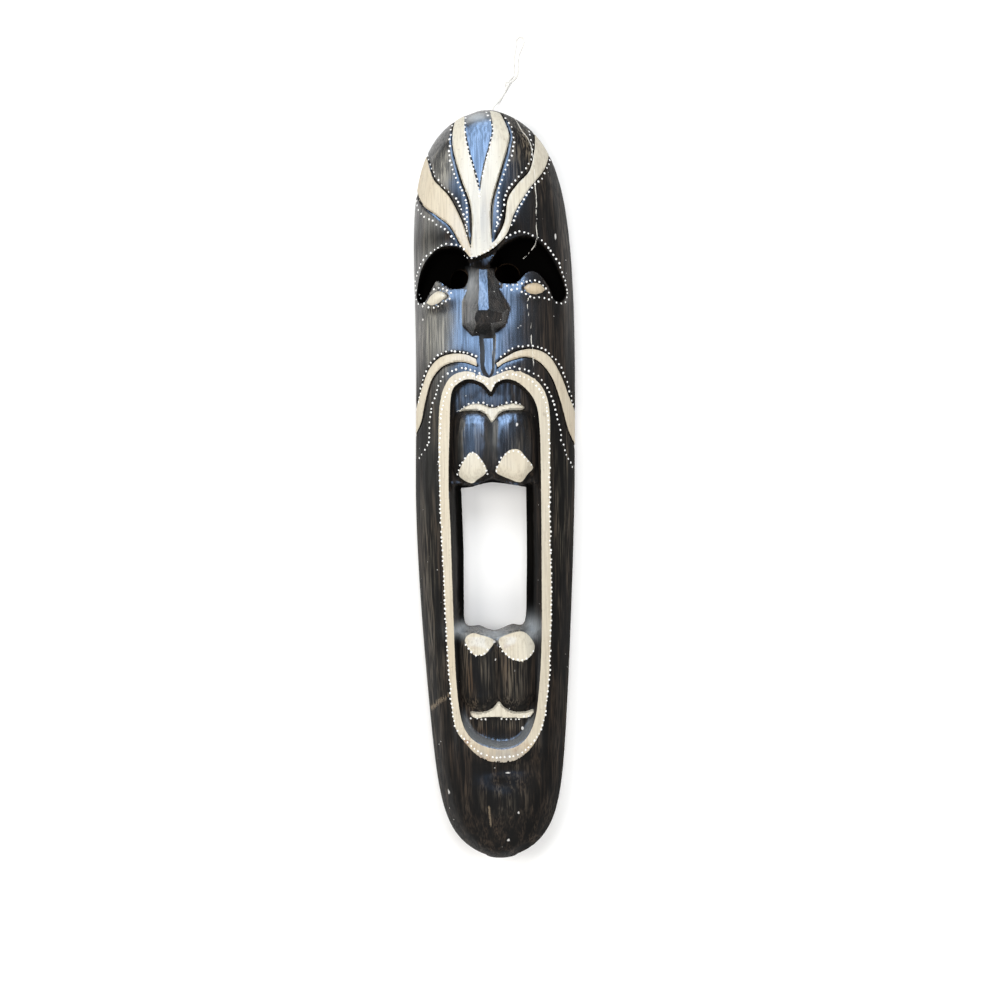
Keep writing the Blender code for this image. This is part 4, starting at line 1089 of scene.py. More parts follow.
# %% How brown each pale shape is
FAN_BROWN, LEAF_BROWN, OUTER_BROWN = 0.02, 0.50, 0.10
LEFT_LIP_BROWN, RIGHT_LIP_BROWN, BORDER_BROWN = 0.38, 0.50, 0.37
UPPER_GUM_BROWN, LOWER_GUM_BROWN = 0.12, 0.10
EYEBALL_BROWNS = (0.12, 0.95)
TIP_BROWNS = (0.15, 0.40, 0.15, 0.12)
BARE_BROWN = 0.3
FOOT_BROWN = 0.35
BORDER_FOOT_AT = (500, 744)


def pale_shapes(x, y):
    """How far inside each group of pale shapes a place is, with how brown that group's wood is."""
    fan = np.concatenate([curve(INNER_LEFT), curve(TRUNK_END), curve(INNER_RIGHT)[::-1]])
    lip = inside_of(x, y, BORDER_OUTER, PALE_REACH, corners=NOTCHES)
    throat = inside_of(x, y, BORDER_INNER, PALE_REACH, corners=NOTCHES)
    wedge = band(x, y, WEDGE_LEFT, WEDGE_RIGHT)
    yield np.minimum(depth_inside(x, y, fan, PALE_REACH), -wedge), FAN_BROWN
    yield band(x, y, LEAF_UPPER, LEAF_LOWER), LEAF_BROWN
    yield band(x, y, OUTER_UPPER, OUTER_LOWER), OUTER_BROWN
    yield band(x, y, LEFT_LIP_UPPER, LEFT_LIP_LOWER), LEFT_LIP_BROWN
    yield band(x, y, RIGHT_LIP_UPPER, RIGHT_LIP_LOWER), RIGHT_LIP_BROWN
    yield np.minimum(lip, -throat), BORDER_BROWN
    yield inside_of(x, y, UPPER_GUM, PALE_REACH), UPPER_GUM_BROWN
    yield inside_of(x, y, LOWER_GUM, PALE_REACH), LOWER_GUM_BROWN
    for (eyeball, tips, _, _), brown in zip(EYEBALLS, EYEBALL_BROWNS):
        yield inside_of(x, y, eyeball, PALE_REACH, corners=tips), brown
    for tip, brown in zip(TOOTH_TIPS, TIP_BROWNS):
        yield inside_of(x, y, tip, PALE_REACH), brown


def browns(x, y):
    """How far inside the pale wood each place is, and how brown that wood is."""
    pale, brown = np.full(x.shape, -PALE_REACH), np.full(x.shape, BARE_BROWN)
    for inner, tone in pale_shapes(x, y):
        brown = np.where(inner > pale, tone, brown)
        pale = np.maximum(pale, inner)
    border_foot = (brown == BORDER_BROWN) * (y < on_mask(BORDER_FOOT_AT)[1])
    return pale, brown + FOOT_BROWN * border_foot


# %% Soft patches, lines and scratches
CUT_REACH = 1.5
CUT_CORE = 1.35


def spots(x, y, places):
    """Soft patches round picture points, each with its own strength."""
    return sum(strength * patch(x, y, *place) for *place, strength in places)


def near_lines(x, y, lines):
    """1 on some lines, falling to 0 a little beyond a knife cut's width from them."""
    reach = GROOVE_BEVEL * CUT_REACH
    away = np.min([from_line(x, y, curve(line), False, reach)[0] for line in lines], axis=0)
    return clamp(CUT_CORE - away / GROOVE_BEVEL)


def scuffs_at(x, y):
    """Short scratches in the stain, 1 along their middles."""
    strongest = np.zeros(x.shape)
    for start, end, wide in SCUFFS:
        line = np.array([on_mask(start), on_mask(end)])
        away = from_line(x, y, line, False, pixels(wide))[0]
        strongest = np.maximum(strongest, clamp(1 - away / pixels(wide)))
    return strongest


# %% How black the painted shade in a hollow is
HOLLOW_FROM_MM, HOLLOW_FADE_MM = 2.5, 5
THROAT_FROM_MM, THROAT_FADE_MM = 17, 8
THROAT_BLACK, LEDGE_LIGHTER = 0.92, 0.85
LEDGE_AT, LEDGE_FADE = (495, 621), 7
SOCKET_SIDE_REACH = 0.003


def hollows(x, y, depth_mm, throat, behind):
    """Painted shade: the eye hollows and the throat get black with their depth, and a few corners get it
    too.
    """
    sides = [inside_of(x, y, line, SOCKET_SIDE_REACH) for line in (LEFT_SOCKET, RIGHT_SOCKET)]
    in_socket = ease((depth_mm - HOLLOW_FROM_MM) / HOLLOW_FADE_MM) * (np.maximum(*sides) > 0)
    ledge = ease((on_mask(LEDGE_AT)[1] - y) / pixels(LEDGE_FADE))
    in_throat = ease((depth_mm - THROAT_FROM_MM) / THROAT_FADE_MM) * (THROAT_BLACK - LEDGE_LIGHTER * ledge)
    hollow = np.where(throat, in_throat, in_socket)
    return clamp(hollow + spots(x, y, SHADED_PLACES) * (1 - behind))


# %% How much the wax shines
WAX_BELOW = 0.20
WAX_TOP_Y = 0.205
WAX_FADE = 0.11
RIGHT_DULLER, RIGHT_FROM, RIGHT_FADE = 0.72, 0.30, 0.35
THROAT_WAX = 0.8
BEHIND_DULLER = 0.8
BEVELS_KEEP = 0.7
DULL_CUTS_DULLER = 0.75
HIGH_CUTS_AT, HIGH_CUTS_FADE, HIGH_CUTS_DULLER = (460, 205), 24, 0.7


def waxes(x, y, hollow, throat, behind):
    """Most wax is on the nose and cheeks. It is worn below, on the right and beside some cuts."""
    upper = ease((y - WAX_TOP_Y + WAX_FADE) / WAX_FADE)
    side = np.abs(x - middle(y)) / half_width(y)
    right = (x > middle(y)) * ease((side - RIGHT_FROM) / RIGHT_FADE)
    wax = (WAX_BELOW + (1 - WAX_BELOW) * upper) * (1 - RIGHT_DULLER * right)
    wax = wax * np.where(throat, THROAT_WAX, 1.0)
    wax = clamp(wax + spots(x, y, WAXED_PLACES)) * (1 - hollow) * (1 - BEHIND_DULLER * behind)
    by_cut = near_lines(x, y, BROW_CUTS)
    wax = wax * clamp(1 - spots(x, y, DULL_PLACES))
    wax = wax * clamp(1 - spots(x, y, BEVELLED_PLACES) * (1 - BEVELS_KEEP * by_cut))
    high = ease((y - on_mask(HIGH_CUTS_AT)[1]) / pixels(HIGH_CUTS_FADE))
    wax = wax * (1 - DULL_CUTS_DULLER * near_lines(x, y, DULL_CUTS))
    return wax * (1 - HIGH_CUTS_DULLER * high * by_cut)


# %% Where a grey sheen is painted on the stain
RIM_AT, RIM_HALF, RIM_CORE, RIM_PAINTED_SHEEN = 0.0042, 0.0032, 1.6, 0.42
RIM_FROM, RIM_FADE = (495, 708), 20


def painted_sheens(x, y, behind):
    """A painted sheen of bluish grey where faces catch the light: in some places, and along the wall round
    the mouth's foot.
    """
    inner = inside_of(x, y, BORDER_INNER, MOUTH_REACH, corners=NOTCHES)
    low = ease((on_mask(RIM_FROM)[1] - y) / pixels(RIM_FADE))
    rim = clamp(RIM_CORE - np.abs(inner - RIM_AT) / RIM_HALF) * low * (inner > 0)
    return clamp(spots(x, y, PAINTED_SHEEN_PLACES) + RIM_PAINTED_SHEEN * rim) * (1 - behind)


# %% Storing it all on the mesh
BEHIND_FROM, BEHIND_FADE = 0.004, 0.002
CUT_LINE_REACH, CRACK_REACH = 0.003, 0.006
NO_PALE_MM = -4
FAR_BEHIND_MM = 9


def store(mesh, name, values):
    """Keeps one number on each point of the mesh."""
    layer = mesh.attributes.new(name, "FLOAT", "POINT")
    layer.data.foreach_set("value", np.asarray(values, np.float32))


def nearest_mm(x, y, lines, reach, behind):
    """Millimetres to the nearest of some lines, and far for what is behind the mask's front."""
    away = np.min([from_line(x, y, curve(line), False, reach)[0] for line in lines], axis=0)
    return away * 1000 + behind * FAR_BEHIND_MM


def mark_mask(mesh):
    """Stores what the material needs to know at each point."""
    places = np.zeros(len(mesh.vertices) * 3)
    mesh.vertices.foreach_get("co", places)
    x, y, z = places.reshape(-1, 3).T
    pale, brown = browns(x, y)
    throat = inside_of(x, y, BORDER_INNER, PALE_REACH, corners=NOTCHES) > 0
    behind = clamp((forms(x, y) - z - BEHIND_FROM) / BEHIND_FADE)
    # Painted shade: hollow makes the eye hollows, the throat and a few corners black
    hollow = hollows(x, y, (arch(x, y) - z) * 1000 * (1 - behind), throat, behind)
    store(mesh, "pale_mm", np.where(behind > 0, NO_PALE_MM, pale * 1000))
    store(mesh, "brown", brown)
    store(mesh, "hollow", hollow)
    store(mesh, "behind", behind)
    store(mesh, "wax", waxes(x, y, hollow, throat, behind))
    # Painted sheen: where the stain is painted a bluish grey
    store(mesh, "sheen", painted_sheens(x, y, behind))
    store(mesh, "scuff", scuffs_at(x, y))
    store(mesh, "cut_mm", nearest_mm(x, y, [cut[0] for cut in KNIFE_CUTS], CUT_LINE_REACH, behind))
    store(mesh, "crack_mm", nearest_mm(x, y, [CRACK, LOWER_CRACK], CRACK_REACH, behind))
    # chip also holds one painted glint under the lip
    for name, marked in (
        ("rubbed", RUBBED_PLACES), ("grey", GREY_PLACES), ("chip", CHIPS_AND_GLINT), ("umber", UMBER_PLACES),
    ):
        store(mesh, name, clamp(spots(x, y, marked)))
    return float((pale > 0).mean())


pale_share = mark_mask(mask_mesh)
print(f"pale wood on {pale_share:.0%} of the points")

# %% The mask's piece
carved_face = finish_piece("carved_face", mask_mesh, "stained_wood", "carved_mask")

# %% [markdown]
# ## The rows of dots
# The dots are drops of thick white paint, set one by one with the end of a stick. Each is about 3 mm
# wide and stands up a little, so they are real flat domes. A row is drawn in the picture, walked along
# at a drop's spacing, and each drop is set where the line of sight meets the wood, square to it. The
# hand isn't perfect, so every drop is moved and sized by a small seeded amount.

# %% The rows, as drawn
DOT_ROWS = [
    [(452, 122), (449.7, 144), (449.7, 158.7), (454.2, 174.6), (462.2, 191), (467, 210), (466.3, 240)],
    [(465, 114), (465.5, 136), (470, 155), (475, 172), (479.3, 188), (479, 200)],
    [(486, 112), (492.5, 126), (492.3, 136), (487.5, 157), (482.5, 177)],
    [
        (505.8, 118), (511.3, 128.7), (514.1, 146), (506.8, 166.6), (498.5, 192.5), (497.2, 217.7),
        (494.4, 233),
    ],
    [(426.3, 151), (434.7, 175.6), (447.3, 191), (455.8, 198), (463.9, 217), (467.5, 232)],
    [(416.8, 200.8), (420.7, 213.5), (437.5, 224.7), (446, 230.3), (455.1, 240.1)],
    [(529, 131), (532.3, 147), (528.8, 163.8), (517, 178.4), (506.5, 191.8), (502.8, 210), (497.9, 224)],
    [(549.5, 160), (543.5, 176), (531.3, 188.3), (518.9, 208), (511.2, 228)],
    [(464, 256), (471, 258.5), (481, 254.5), (490, 249.5), (499, 242.3)],
    [
        (415.8, 296), (419, 304.5), (424.5, 304.5), (415.4, 287), (417, 277), (422, 262), (431, 252.5),
        (443, 245), (457, 244.6), (464.5, 249.5),
    ],
    [(434.3, 289.6), (440.5, 287.5), (447, 290.5), (453.5, 294.4)],
    [(449, 298.6), (443, 303.4), (435.5, 307.5), (426, 307.8)],
    [
        (506.5, 237), (517.6, 232), (531.3, 234.8), (541.4, 240.2), (551.3, 251.4), (560.4, 267.6),
        (566.4, 286), (566, 302), (554.7, 302),
    ],
    [(507.4, 286.4), (520.6, 283.6), (535.7, 280.7), (547.3, 290), (552.4, 298.9)],
    [(511.9, 289.6), (518.3, 289.2), (525.3, 294.4), (532.9, 297.3), (541, 297.3), (550.2, 299.8)],
    [(476.6, 355.8), (458.8, 351.2), (442, 353.3), (429.9, 364), (423, 381.5), (418.8, 402.7)],
    [
        (479.4, 372.4), (461.6, 368.2), (444.8, 375.4), (436.7, 391.8), (430.3, 414.2), (427.6, 444.5),
        (418.2, 458.4),
    ],
    [(501.2, 356.4), (516, 347), (534.7, 346.4), (549, 353.3), (560.8, 367), (568.4, 388), (574.2, 409)],
    [
        (496.9, 372.4), (513.9, 367.2), (532.7, 373), (545.4, 384.2), (552.9, 401.5), (558.7, 423.3),
        (563, 445.7), (574.5, 471.2),
    ],
    [
        (461, 409), (465, 406), (472, 403), (482, 403.2), (491, 406), (499, 406), (507, 402.4),
        (514, 402), (523, 406),
    ],
    [
        (457.8, 474.5), (460.3, 464.7), (464.8, 458.2), (473, 452.9), (479, 458), (483.8, 465.5),
        (487.3, 474.5),
    ],
    [
        (495.8, 471), (499.5, 460.6), (505.8, 454), (512, 451.4), (518.6, 452.2), (525.5, 458.2),
        (532.6, 467),
    ],
    [(466, 645), (473, 653.6), (482.3, 655), (490, 648)],
    [(499.6, 646.5), (507.4, 656), (520.6, 660.6), (530.3, 656), (534.6, 648)],
    [(471, 718.8), (487, 718.9)],
    [(502, 718.8), (516, 719.2), (532, 715.5)],
]
BORDER_DOTS = [
    (492.5, 386), (500, 378.5), (511, 374.5), (524, 376.8), (535, 384.3), (543, 396), (547.8, 414),
    (549.3, 450), *BORDER_OUTER[7:12], (530, 745.5), (517, 755), (499.4, 757.5), (481.5, 753.5),
    (466.5, 741), *BORDER_OUTER[17:22], (439.8, 440), (442.8, 405), (450, 388), (459.5, 379.3),
    (469, 375.6), (480, 379), (487.5, 384),
]
print(len(DOT_ROWS) + 1, "rows")

# %% Setting the drops
DOT_RADIUS = 0.00148
DOT_SPACING = 4.75
DOT_FLATNESS = 0.5
ALONG_JITTER = 0.5
ACROSS_JITTER = 0.35
ROW_STEPS = 12
DROP_SEED = 21
DROP_SIZES = (0.8, 1.14)
DROP_STRETCH = (0.86, 1.14)
DROP_SIDES, DROP_RINGS = 8, 5
STEEPEST_WOOD, LOWEST_DROP = 0.12, 0.012


def walk(points, spacing, draw):
    """Places along a drawn row, a little unevenly spaced."""
    line = smooth_line(points, ROW_STEPS)
    ahead, found = 0.0, []
    for a, b in zip(line, line[1:]):
        span = (b - a).length
        while ahead <= span:
            spot = a + (b - a) * (ahead / max(span, 1e-9))
            found.append((spot.x + draw.normal(0, ACROSS_JITTER), spot.y + draw.normal(0, ACROSS_JITTER)))
            ahead += spacing + draw.normal(0, ALONG_JITTER)
        ahead -= span
    return found


def set_drops(rows, wood):
    """All the paint drops as one mesh, each a flat closed dome square to the wood below it."""
    draw = np.random.default_rng(DROP_SEED)
    tree = BVHTree.FromPolygons([v.co for v in wood.vertices], [p.vertices for p in wood.polygons])
    drops = bmesh.new()
    eye = Vector((EYE_X, EYE_Y, EYE_HEIGHT))
    count = 0
    for row in rows:
        for spot in walk(row, DOT_SPACING, draw):
            place, normal, _, _ = tree.ray_cast(eye, Vector((*sight(spot), -1.0)).normalized())
            if place is None or normal.z < STEEPEST_WOOD or place.z < LOWEST_DROP:
                continue
            radius = DOT_RADIUS * draw.uniform(*DROP_SIZES)
            shape = Matrix.Diagonal((1, draw.uniform(*DROP_STRETCH), DOT_FLATNESS, 1))
            turn = normal.to_track_quat("Z", "Y").to_matrix().to_4x4()
            spin = Matrix.Rotation(draw.uniform(0, math.pi), 4, "Z")
            matrix = Matrix.Translation(place) @ turn @ spin @ shape
            bmesh.ops.create_uvsphere(
                drops, u_segments=DROP_SIDES, v_segments=DROP_RINGS, radius=radius, matrix=matrix,
            )
            count += 1
    for face in drops.faces:
        face.smooth = True
    return as_mesh("paint_drops", drops), count


drop_mesh, drop_count = set_drops([*DOT_ROWS, BORDER_DOTS], mask_mesh)
paint_drops = finish_piece("paint_drops", drop_mesh, "dot_paint")
print(f"{drop_count} drops of paint")

# %% [markdown]
# ## Helpers for the materials
# A material is a small network of nodes. Writing each node and link by hand is long, so a few helpers
# make a node with its inputs, do sums, and mix colours. Effects that are used more than once, such as
# the ragged edge of a band or a crack, are node groups: they are built once and give only values.

# %% Node helpers
def add(tree, kind, inputs=None, **settings):
    """A new node with its settings, and its inputs given as values or as other nodes' outputs."""
    made = tree.nodes.new(kind)
    for name, value in settings.items():
        setattr(made, name, value)
    for key, value in (inputs or {}).items():
        if isinstance(value, bpy.types.NodeSocket):
            tree.links.new(value, made.inputs[key])
        else:
            made.inputs[key].default_value = value
    return made


def calc(tree, operation, first, second=0.0):
    """What an operation makes of two values."""
    return add(tree, "ShaderNodeMath", {0: first, 1: second}, operation=operation).outputs[0]


def times(tree, first, second):
    """The product of two values."""
    return calc(tree, "MULTIPLY", first, second)


def plus(tree, first, second):
    """The sum of two values."""
    return calc(tree, "ADD", first, second)


def step(tree, value, low, high):
    """0 up to low and 1 from high, with a soft step between them. Low may be the higher one."""
    inputs = {"Value": value, "From Min": low, "From Max": high}
    return add(tree, "ShaderNodeMapRange", inputs, interpolation_type="SMOOTHSTEP").outputs[0]


def mix(tree, share, first, second):
    """A colour between two colours."""
    inputs = {"Factor": share, 6: first, 7: second}
    return add(tree, "ShaderNodeMix", inputs, data_type="RGBA").outputs[2]


def stored(tree, name):
    """A number that was stored on the mesh."""
    return add(tree, "ShaderNodeAttribute", attribute_name=name).outputs["Fac"]


def noise(tree, where, scale, detail=3.0, rough=0.55):
    """A cloudy pattern. The scale says how many clouds there are in a metre."""
    inputs = {"Vector": where, "Scale": scale, "Detail": detail, "Roughness": rough}
    return add(tree, "ShaderNodeTexNoise", inputs).outputs[0]


def new_material(name):
    """An empty material: its node tree and its Principled shader."""
    made = bpy.data.materials.new(name)
    made.use_nodes = True
    return made, made.node_tree, made.node_tree.nodes["Principled BSDF"]


def connect(tree, shader, **inputs):
    """Links values to the shader's inputs, named with _ for each space."""
    for name, value in inputs.items():
        tree.links.new(value, shader.inputs[name.replace("_", " ")])


def set_inputs(shader, **inputs):
    """Sets the shader's inputs that are the same all over, named with _ for each space."""
    for name, value in inputs.items():
        shader.inputs[name.replace("_", " ")].default_value = value


# %% The grain as a node group
GRAIN_LAYERS = (
    ("Fibres", (1.0, 0.035, 1.0), 520.0, 4.0), ("Bands", (1.0, 0.09, 1.0), 90.0, 3.0),
    ("Patches", (1.0, 0.4, 1.0), 22.0, 3.0),
)
SHAKE_NOISE = (260.0, 2.0)


def grain_group():
    """Long fibres along the log: fine ones, broad bands, and cloudy patches."""
    group = bpy.data.node_groups.new("grain", "ShaderNodeTree")
    group.interface.new_socket("Where", in_out="INPUT", socket_type="NodeSocketVector")
    for name, *_ in GRAIN_LAYERS:
        group.interface.new_socket(name, in_out="OUTPUT", socket_type="NodeSocketFloat")
    where = add(group, "NodeGroupInput").outputs["Where"]
    results = {}
    for name, stretch, scale, detail in GRAIN_LAYERS:
        drawn = add(group, "ShaderNodeMapping", {"Vector": where, "Scale": stretch}).outputs[0]
        results[name] = noise(group, drawn, scale, detail)
    add(group, "NodeGroupOutput", results)
    return group


def ragged_edge_group():
    """Turns a distance in millimetres into a mask with a slightly shaky edge."""
    group = bpy.data.node_groups.new("ragged edge", "ShaderNodeTree")
    inputs = {"Where": "Vector", "Distance": "Float", "Shake": "Float", "Softness": "Float"}
    for name, kind in inputs.items():
        group.interface.new_socket(name, in_out="INPUT", socket_type="NodeSocket" + kind)
    group.interface.new_socket("Mask", in_out="OUTPUT", socket_type="NodeSocketFloat")
    given = add(group, "NodeGroupInput").outputs
    shaky = calc(group, "SUBTRACT", noise(group, given["Where"], *SHAKE_NOISE), 0.5)
    moved = plus(group, given["Distance"], times(group, shaky, given["Shake"]))
    low = times(group, given["Softness"], -1.0)
    add(group, "NodeGroupOutput", {"Mask": step(group, moved, low, given["Softness"])})
    return group


GRAIN = grain_group()
RAGGED_EDGE = ragged_edge_group()


def use_group(tree, group, inputs):
    """A node group's outputs, for these inputs."""
    return add(tree, "ShaderNodeGroup", inputs, node_tree=group).outputs


# %% [markdown]
# ## The stained and the pale wood
# The stain is a thin, nearly black brown that lies unevenly on the fibres: it is rubbed to brown in
# streaks along the log. Painted shade makes it black in the hollows and along the knife cuts, and a
# painted sheen makes it bluish grey where faces catch the light. It was waxed, so it has a soft gloss.
# The pale wood is bare: cream on one side and browner on the other, dull, with stains. A long pale
# crack runs down from the forehead. All of it is one material, because it is one surface.

# %% Stained and pale wood
STAIN_BLACK = (0.0104, 0.0100, 0.0098, 1)
STAIN_BROWN = (0.046, 0.034, 0.026, 1)
STAIN_RUBBED = (0.180, 0.168, 0.132, 1)
# The black of the painted shade in the hollows and along the knife cuts
PAINTED_SHADE_BLACK = (0.0012, 0.0011, 0.0010, 1)
BACK_BROWN = (0.100, 0.062, 0.036, 1)
CREAM = (0.655, 0.625, 0.53, 1)
TAN = (0.52, 0.42, 0.285, 1)
GREY_WOOD = (0.33, 0.32, 0.305, 1)
GRIME = (0.17, 0.115, 0.075, 1)
# The bluish grey of the painted sheen
PAINTED_SHEEN_GREY = (0.33, 0.36, 0.385, 1)
UMBER = (0.125, 0.078, 0.044, 1)
STAINED_CREAM = (0.30, 0.20, 0.14, 1)
CRACK_PALE = (0.78, 0.76, 0.70, 1)
# White of chips and specks, and of one painted glint
SPECK_AND_GLINT_WHITE = (0.60, 0.59, 0.57, 1)
SCUFF_BROWN = (0.190, 0.150, 0.105, 1)
WAX_IOR = 2.1
WAX_ROUGHNESS = 0.27

# %% How the finishes are spread: ranges of a pattern, noises (scale, detail, roughness), and shares
BAND_EDGE = {"Shake": 0.9, "Softness": 0.16}
WORN_BANDS, WORN_FIBRES = (0.38, 0.70), (0.36, 0.64)
STREAK_FIBRES, STREAK_BANDS = (0.44, 0.62), (0.34, 0.60)
RUBBED_PATCHES, RUBBED_SHARE = (0.50, 0.72), 0.16
SHEEN_LEAST, SHEEN_FIBRES = 0.55, 0.9
CUT_SHADE_MM = (1.75, 1.15)
BACK_BANDS = (0.35, 0.65)
BROWN_CLOUDS = 0.7
GREY_BANDS = (0.30, 0.60)
LINE_FIBRES, LINE_SHARE = (0.56, 0.36), 0.20
STAIN_NOISE, STAIN_EDGE, STAIN_SHARE = (75.0, 4.0, 0.7), (0.60, 0.74), 0.9
FLECK_NOISE, FLECK_EDGE, FLECK_SHARE = (260.0, 3.0, 0.65), (0.60, 0.74), 0.34
BLOTCH_NOISE, BLOTCH_EDGE = (140.0, 3.0, 0.6), (0.46, 0.62)
SCUFF_NOISE, SCUFF_LEAST, SCUFF_EDGE, SCUFF_SHARE = (900.0, 2.0), 0.3, (0.42, 0.60), 0.8
CHIP_LEAST, CHIP_EDGE = 0.5, (0.35, 0.55)
CRACK_HALF_MM, CRACK_SHARE, CRACK_SUNK = 0.66, 0.8, 1.2
CRACK_EDGE = {"Shake": 0.6, "Softness": 0.12}
SPECKS_PER_METRE, SPECK_SIZE = 110.0, (0.085, 0.055)
SPECK_NOISE, SPECK_RARITY = (31.0, 2.0), (0.58, 0.60)
GLOSS_LEAST, GLOSS_FIBRES = 0.54, (0.36, 0.62)
BARE_GLOSS = 0.16
ROUGH_LEAST, ROUGH_PATCHES = 0.45, 0.3
FIBRE_HEIGHT, BAND_HEIGHT = 0.6, 0.7
GRAIN_BUMP = {"Strength": 0.5, "Distance": 0.0006}


# %% The stained wood's colour
def stain_colour(tree, grain, hollow, behind, painted_cut_shade):
    """Black stain, worn brown along the grain and rubbed in places, with painted shade in the hollows and
    cuts and a painted sheen in places.
    """
    fibres, bands, patches = grain["Fibres"], grain["Bands"], grain["Patches"]
    worn = times(tree, step(tree, bands, *WORN_BANDS), step(tree, fibres, *WORN_FIBRES))
    stain = mix(tree, worn, STAIN_BLACK, STAIN_BROWN)
    streaks = times(tree, step(tree, fibres, *STREAK_FIBRES), step(tree, bands, *STREAK_BANDS))
    anywhere = times(tree, step(tree, patches, *RUBBED_PATCHES), RUBBED_SHARE)
    rubbed = times(tree, streaks, plus(tree, stored(tree, "rubbed"), anywhere))
    stain = mix(tree, rubbed, stain, mix(tree, stored(tree, "umber"), STAIN_RUBBED, UMBER))
    # Painted shade: black in the eye hollows, the throat and a few corners
    stain = mix(tree, hollow, stain, PAINTED_SHADE_BLACK)
    # Painted sheen: a bluish grey where faces catch the light, broken up by the fibres
    lit_fibres = plus(tree, SHEEN_LEAST, times(tree, fibres, SHEEN_FIBRES))
    stain = mix(tree, times(tree, stored(tree, "sheen"), lit_fibres), stain, PAINTED_SHEEN_GREY)
    # Painted shade: a thin black line along each knife cut's steep wall
    stain = mix(tree, painted_cut_shade, stain, PAINTED_SHADE_BLACK)
    back = mix(tree, step(tree, bands, *BACK_BANDS), STAIN_BROWN, BACK_BROWN)
    return mix(tree, behind, stain, back)


# %% The bare wood's colour
def bare_colour(tree, where, grain):
    """Cream to tan wood, with fine lines, stains, flecks and a few reddish blotches."""
    fibres, bands, patches = grain["Fibres"], grain["Bands"], grain["Patches"]
    brown, umber = stored(tree, "brown"), stored(tree, "umber")
    uneven = times(tree, calc(tree, "SUBTRACT", patches, 0.5), BROWN_CLOUDS)
    bare = mix(tree, plus(tree, brown, uneven), CREAM, TAN)
    bare = mix(tree, times(tree, stored(tree, "grey"), step(tree, bands, *GREY_BANDS)), bare, GREY_WOOD)
    bare = mix(tree, times(tree, step(tree, fibres, *LINE_FIBRES), LINE_SHARE), bare, GRIME)
    stained = step(tree, noise(tree, where, *STAIN_NOISE), *STAIN_EDGE)
    bare = mix(tree, times(tree, stained, times(tree, brown, STAIN_SHARE)), bare, GRIME)
    flecks = step(tree, noise(tree, where, *FLECK_NOISE), *FLECK_EDGE)
    bare = mix(tree, times(tree, flecks, FLECK_SHARE), bare, GRIME)
    blotches = step(tree, noise(tree, where, *BLOTCH_NOISE), *BLOTCH_EDGE)
    return mix(tree, times(tree, umber, blotches), bare, STAINED_CREAM)


# %% Wear over both
def with_wear(tree, where, colour, crack, fibres, front, unhollow):
    """Scuffs, chips, one painted glint, the crack and a few specks, over the wood's colour."""
    broken = plus(tree, noise(tree, where, *SCUFF_NOISE), SCUFF_LEAST)
    scuffed = step(tree, times(tree, stored(tree, "scuff"), broken), *SCUFF_EDGE)
    colour = mix(tree, times(tree, scuffed, SCUFF_SHARE), colour, SCUFF_BROWN)
    # Chips, and the one painted glint, turn white
    chip_or_glint = times(tree, stored(tree, "chip"), plus(tree, fibres, CHIP_LEAST))
    colour = mix(tree, step(tree, chip_or_glint, *CHIP_EDGE), colour, SPECK_AND_GLINT_WHITE)
    colour = mix(tree, times(tree, crack, CRACK_SHARE), colour, CRACK_PALE)
    cells = add(tree, "ShaderNodeTexVoronoi", {"Vector": where, "Scale": SPECKS_PER_METRE})
    rare = step(tree, noise(tree, where, *SPECK_NOISE), *SPECK_RARITY)
    specks = times(tree, step(tree, cells.outputs["Distance"], *SPECK_SIZE), rare)
    return mix(tree, times(tree, times(tree, specks, front), unhollow), colour, SPECK_AND_GLINT_WHITE)


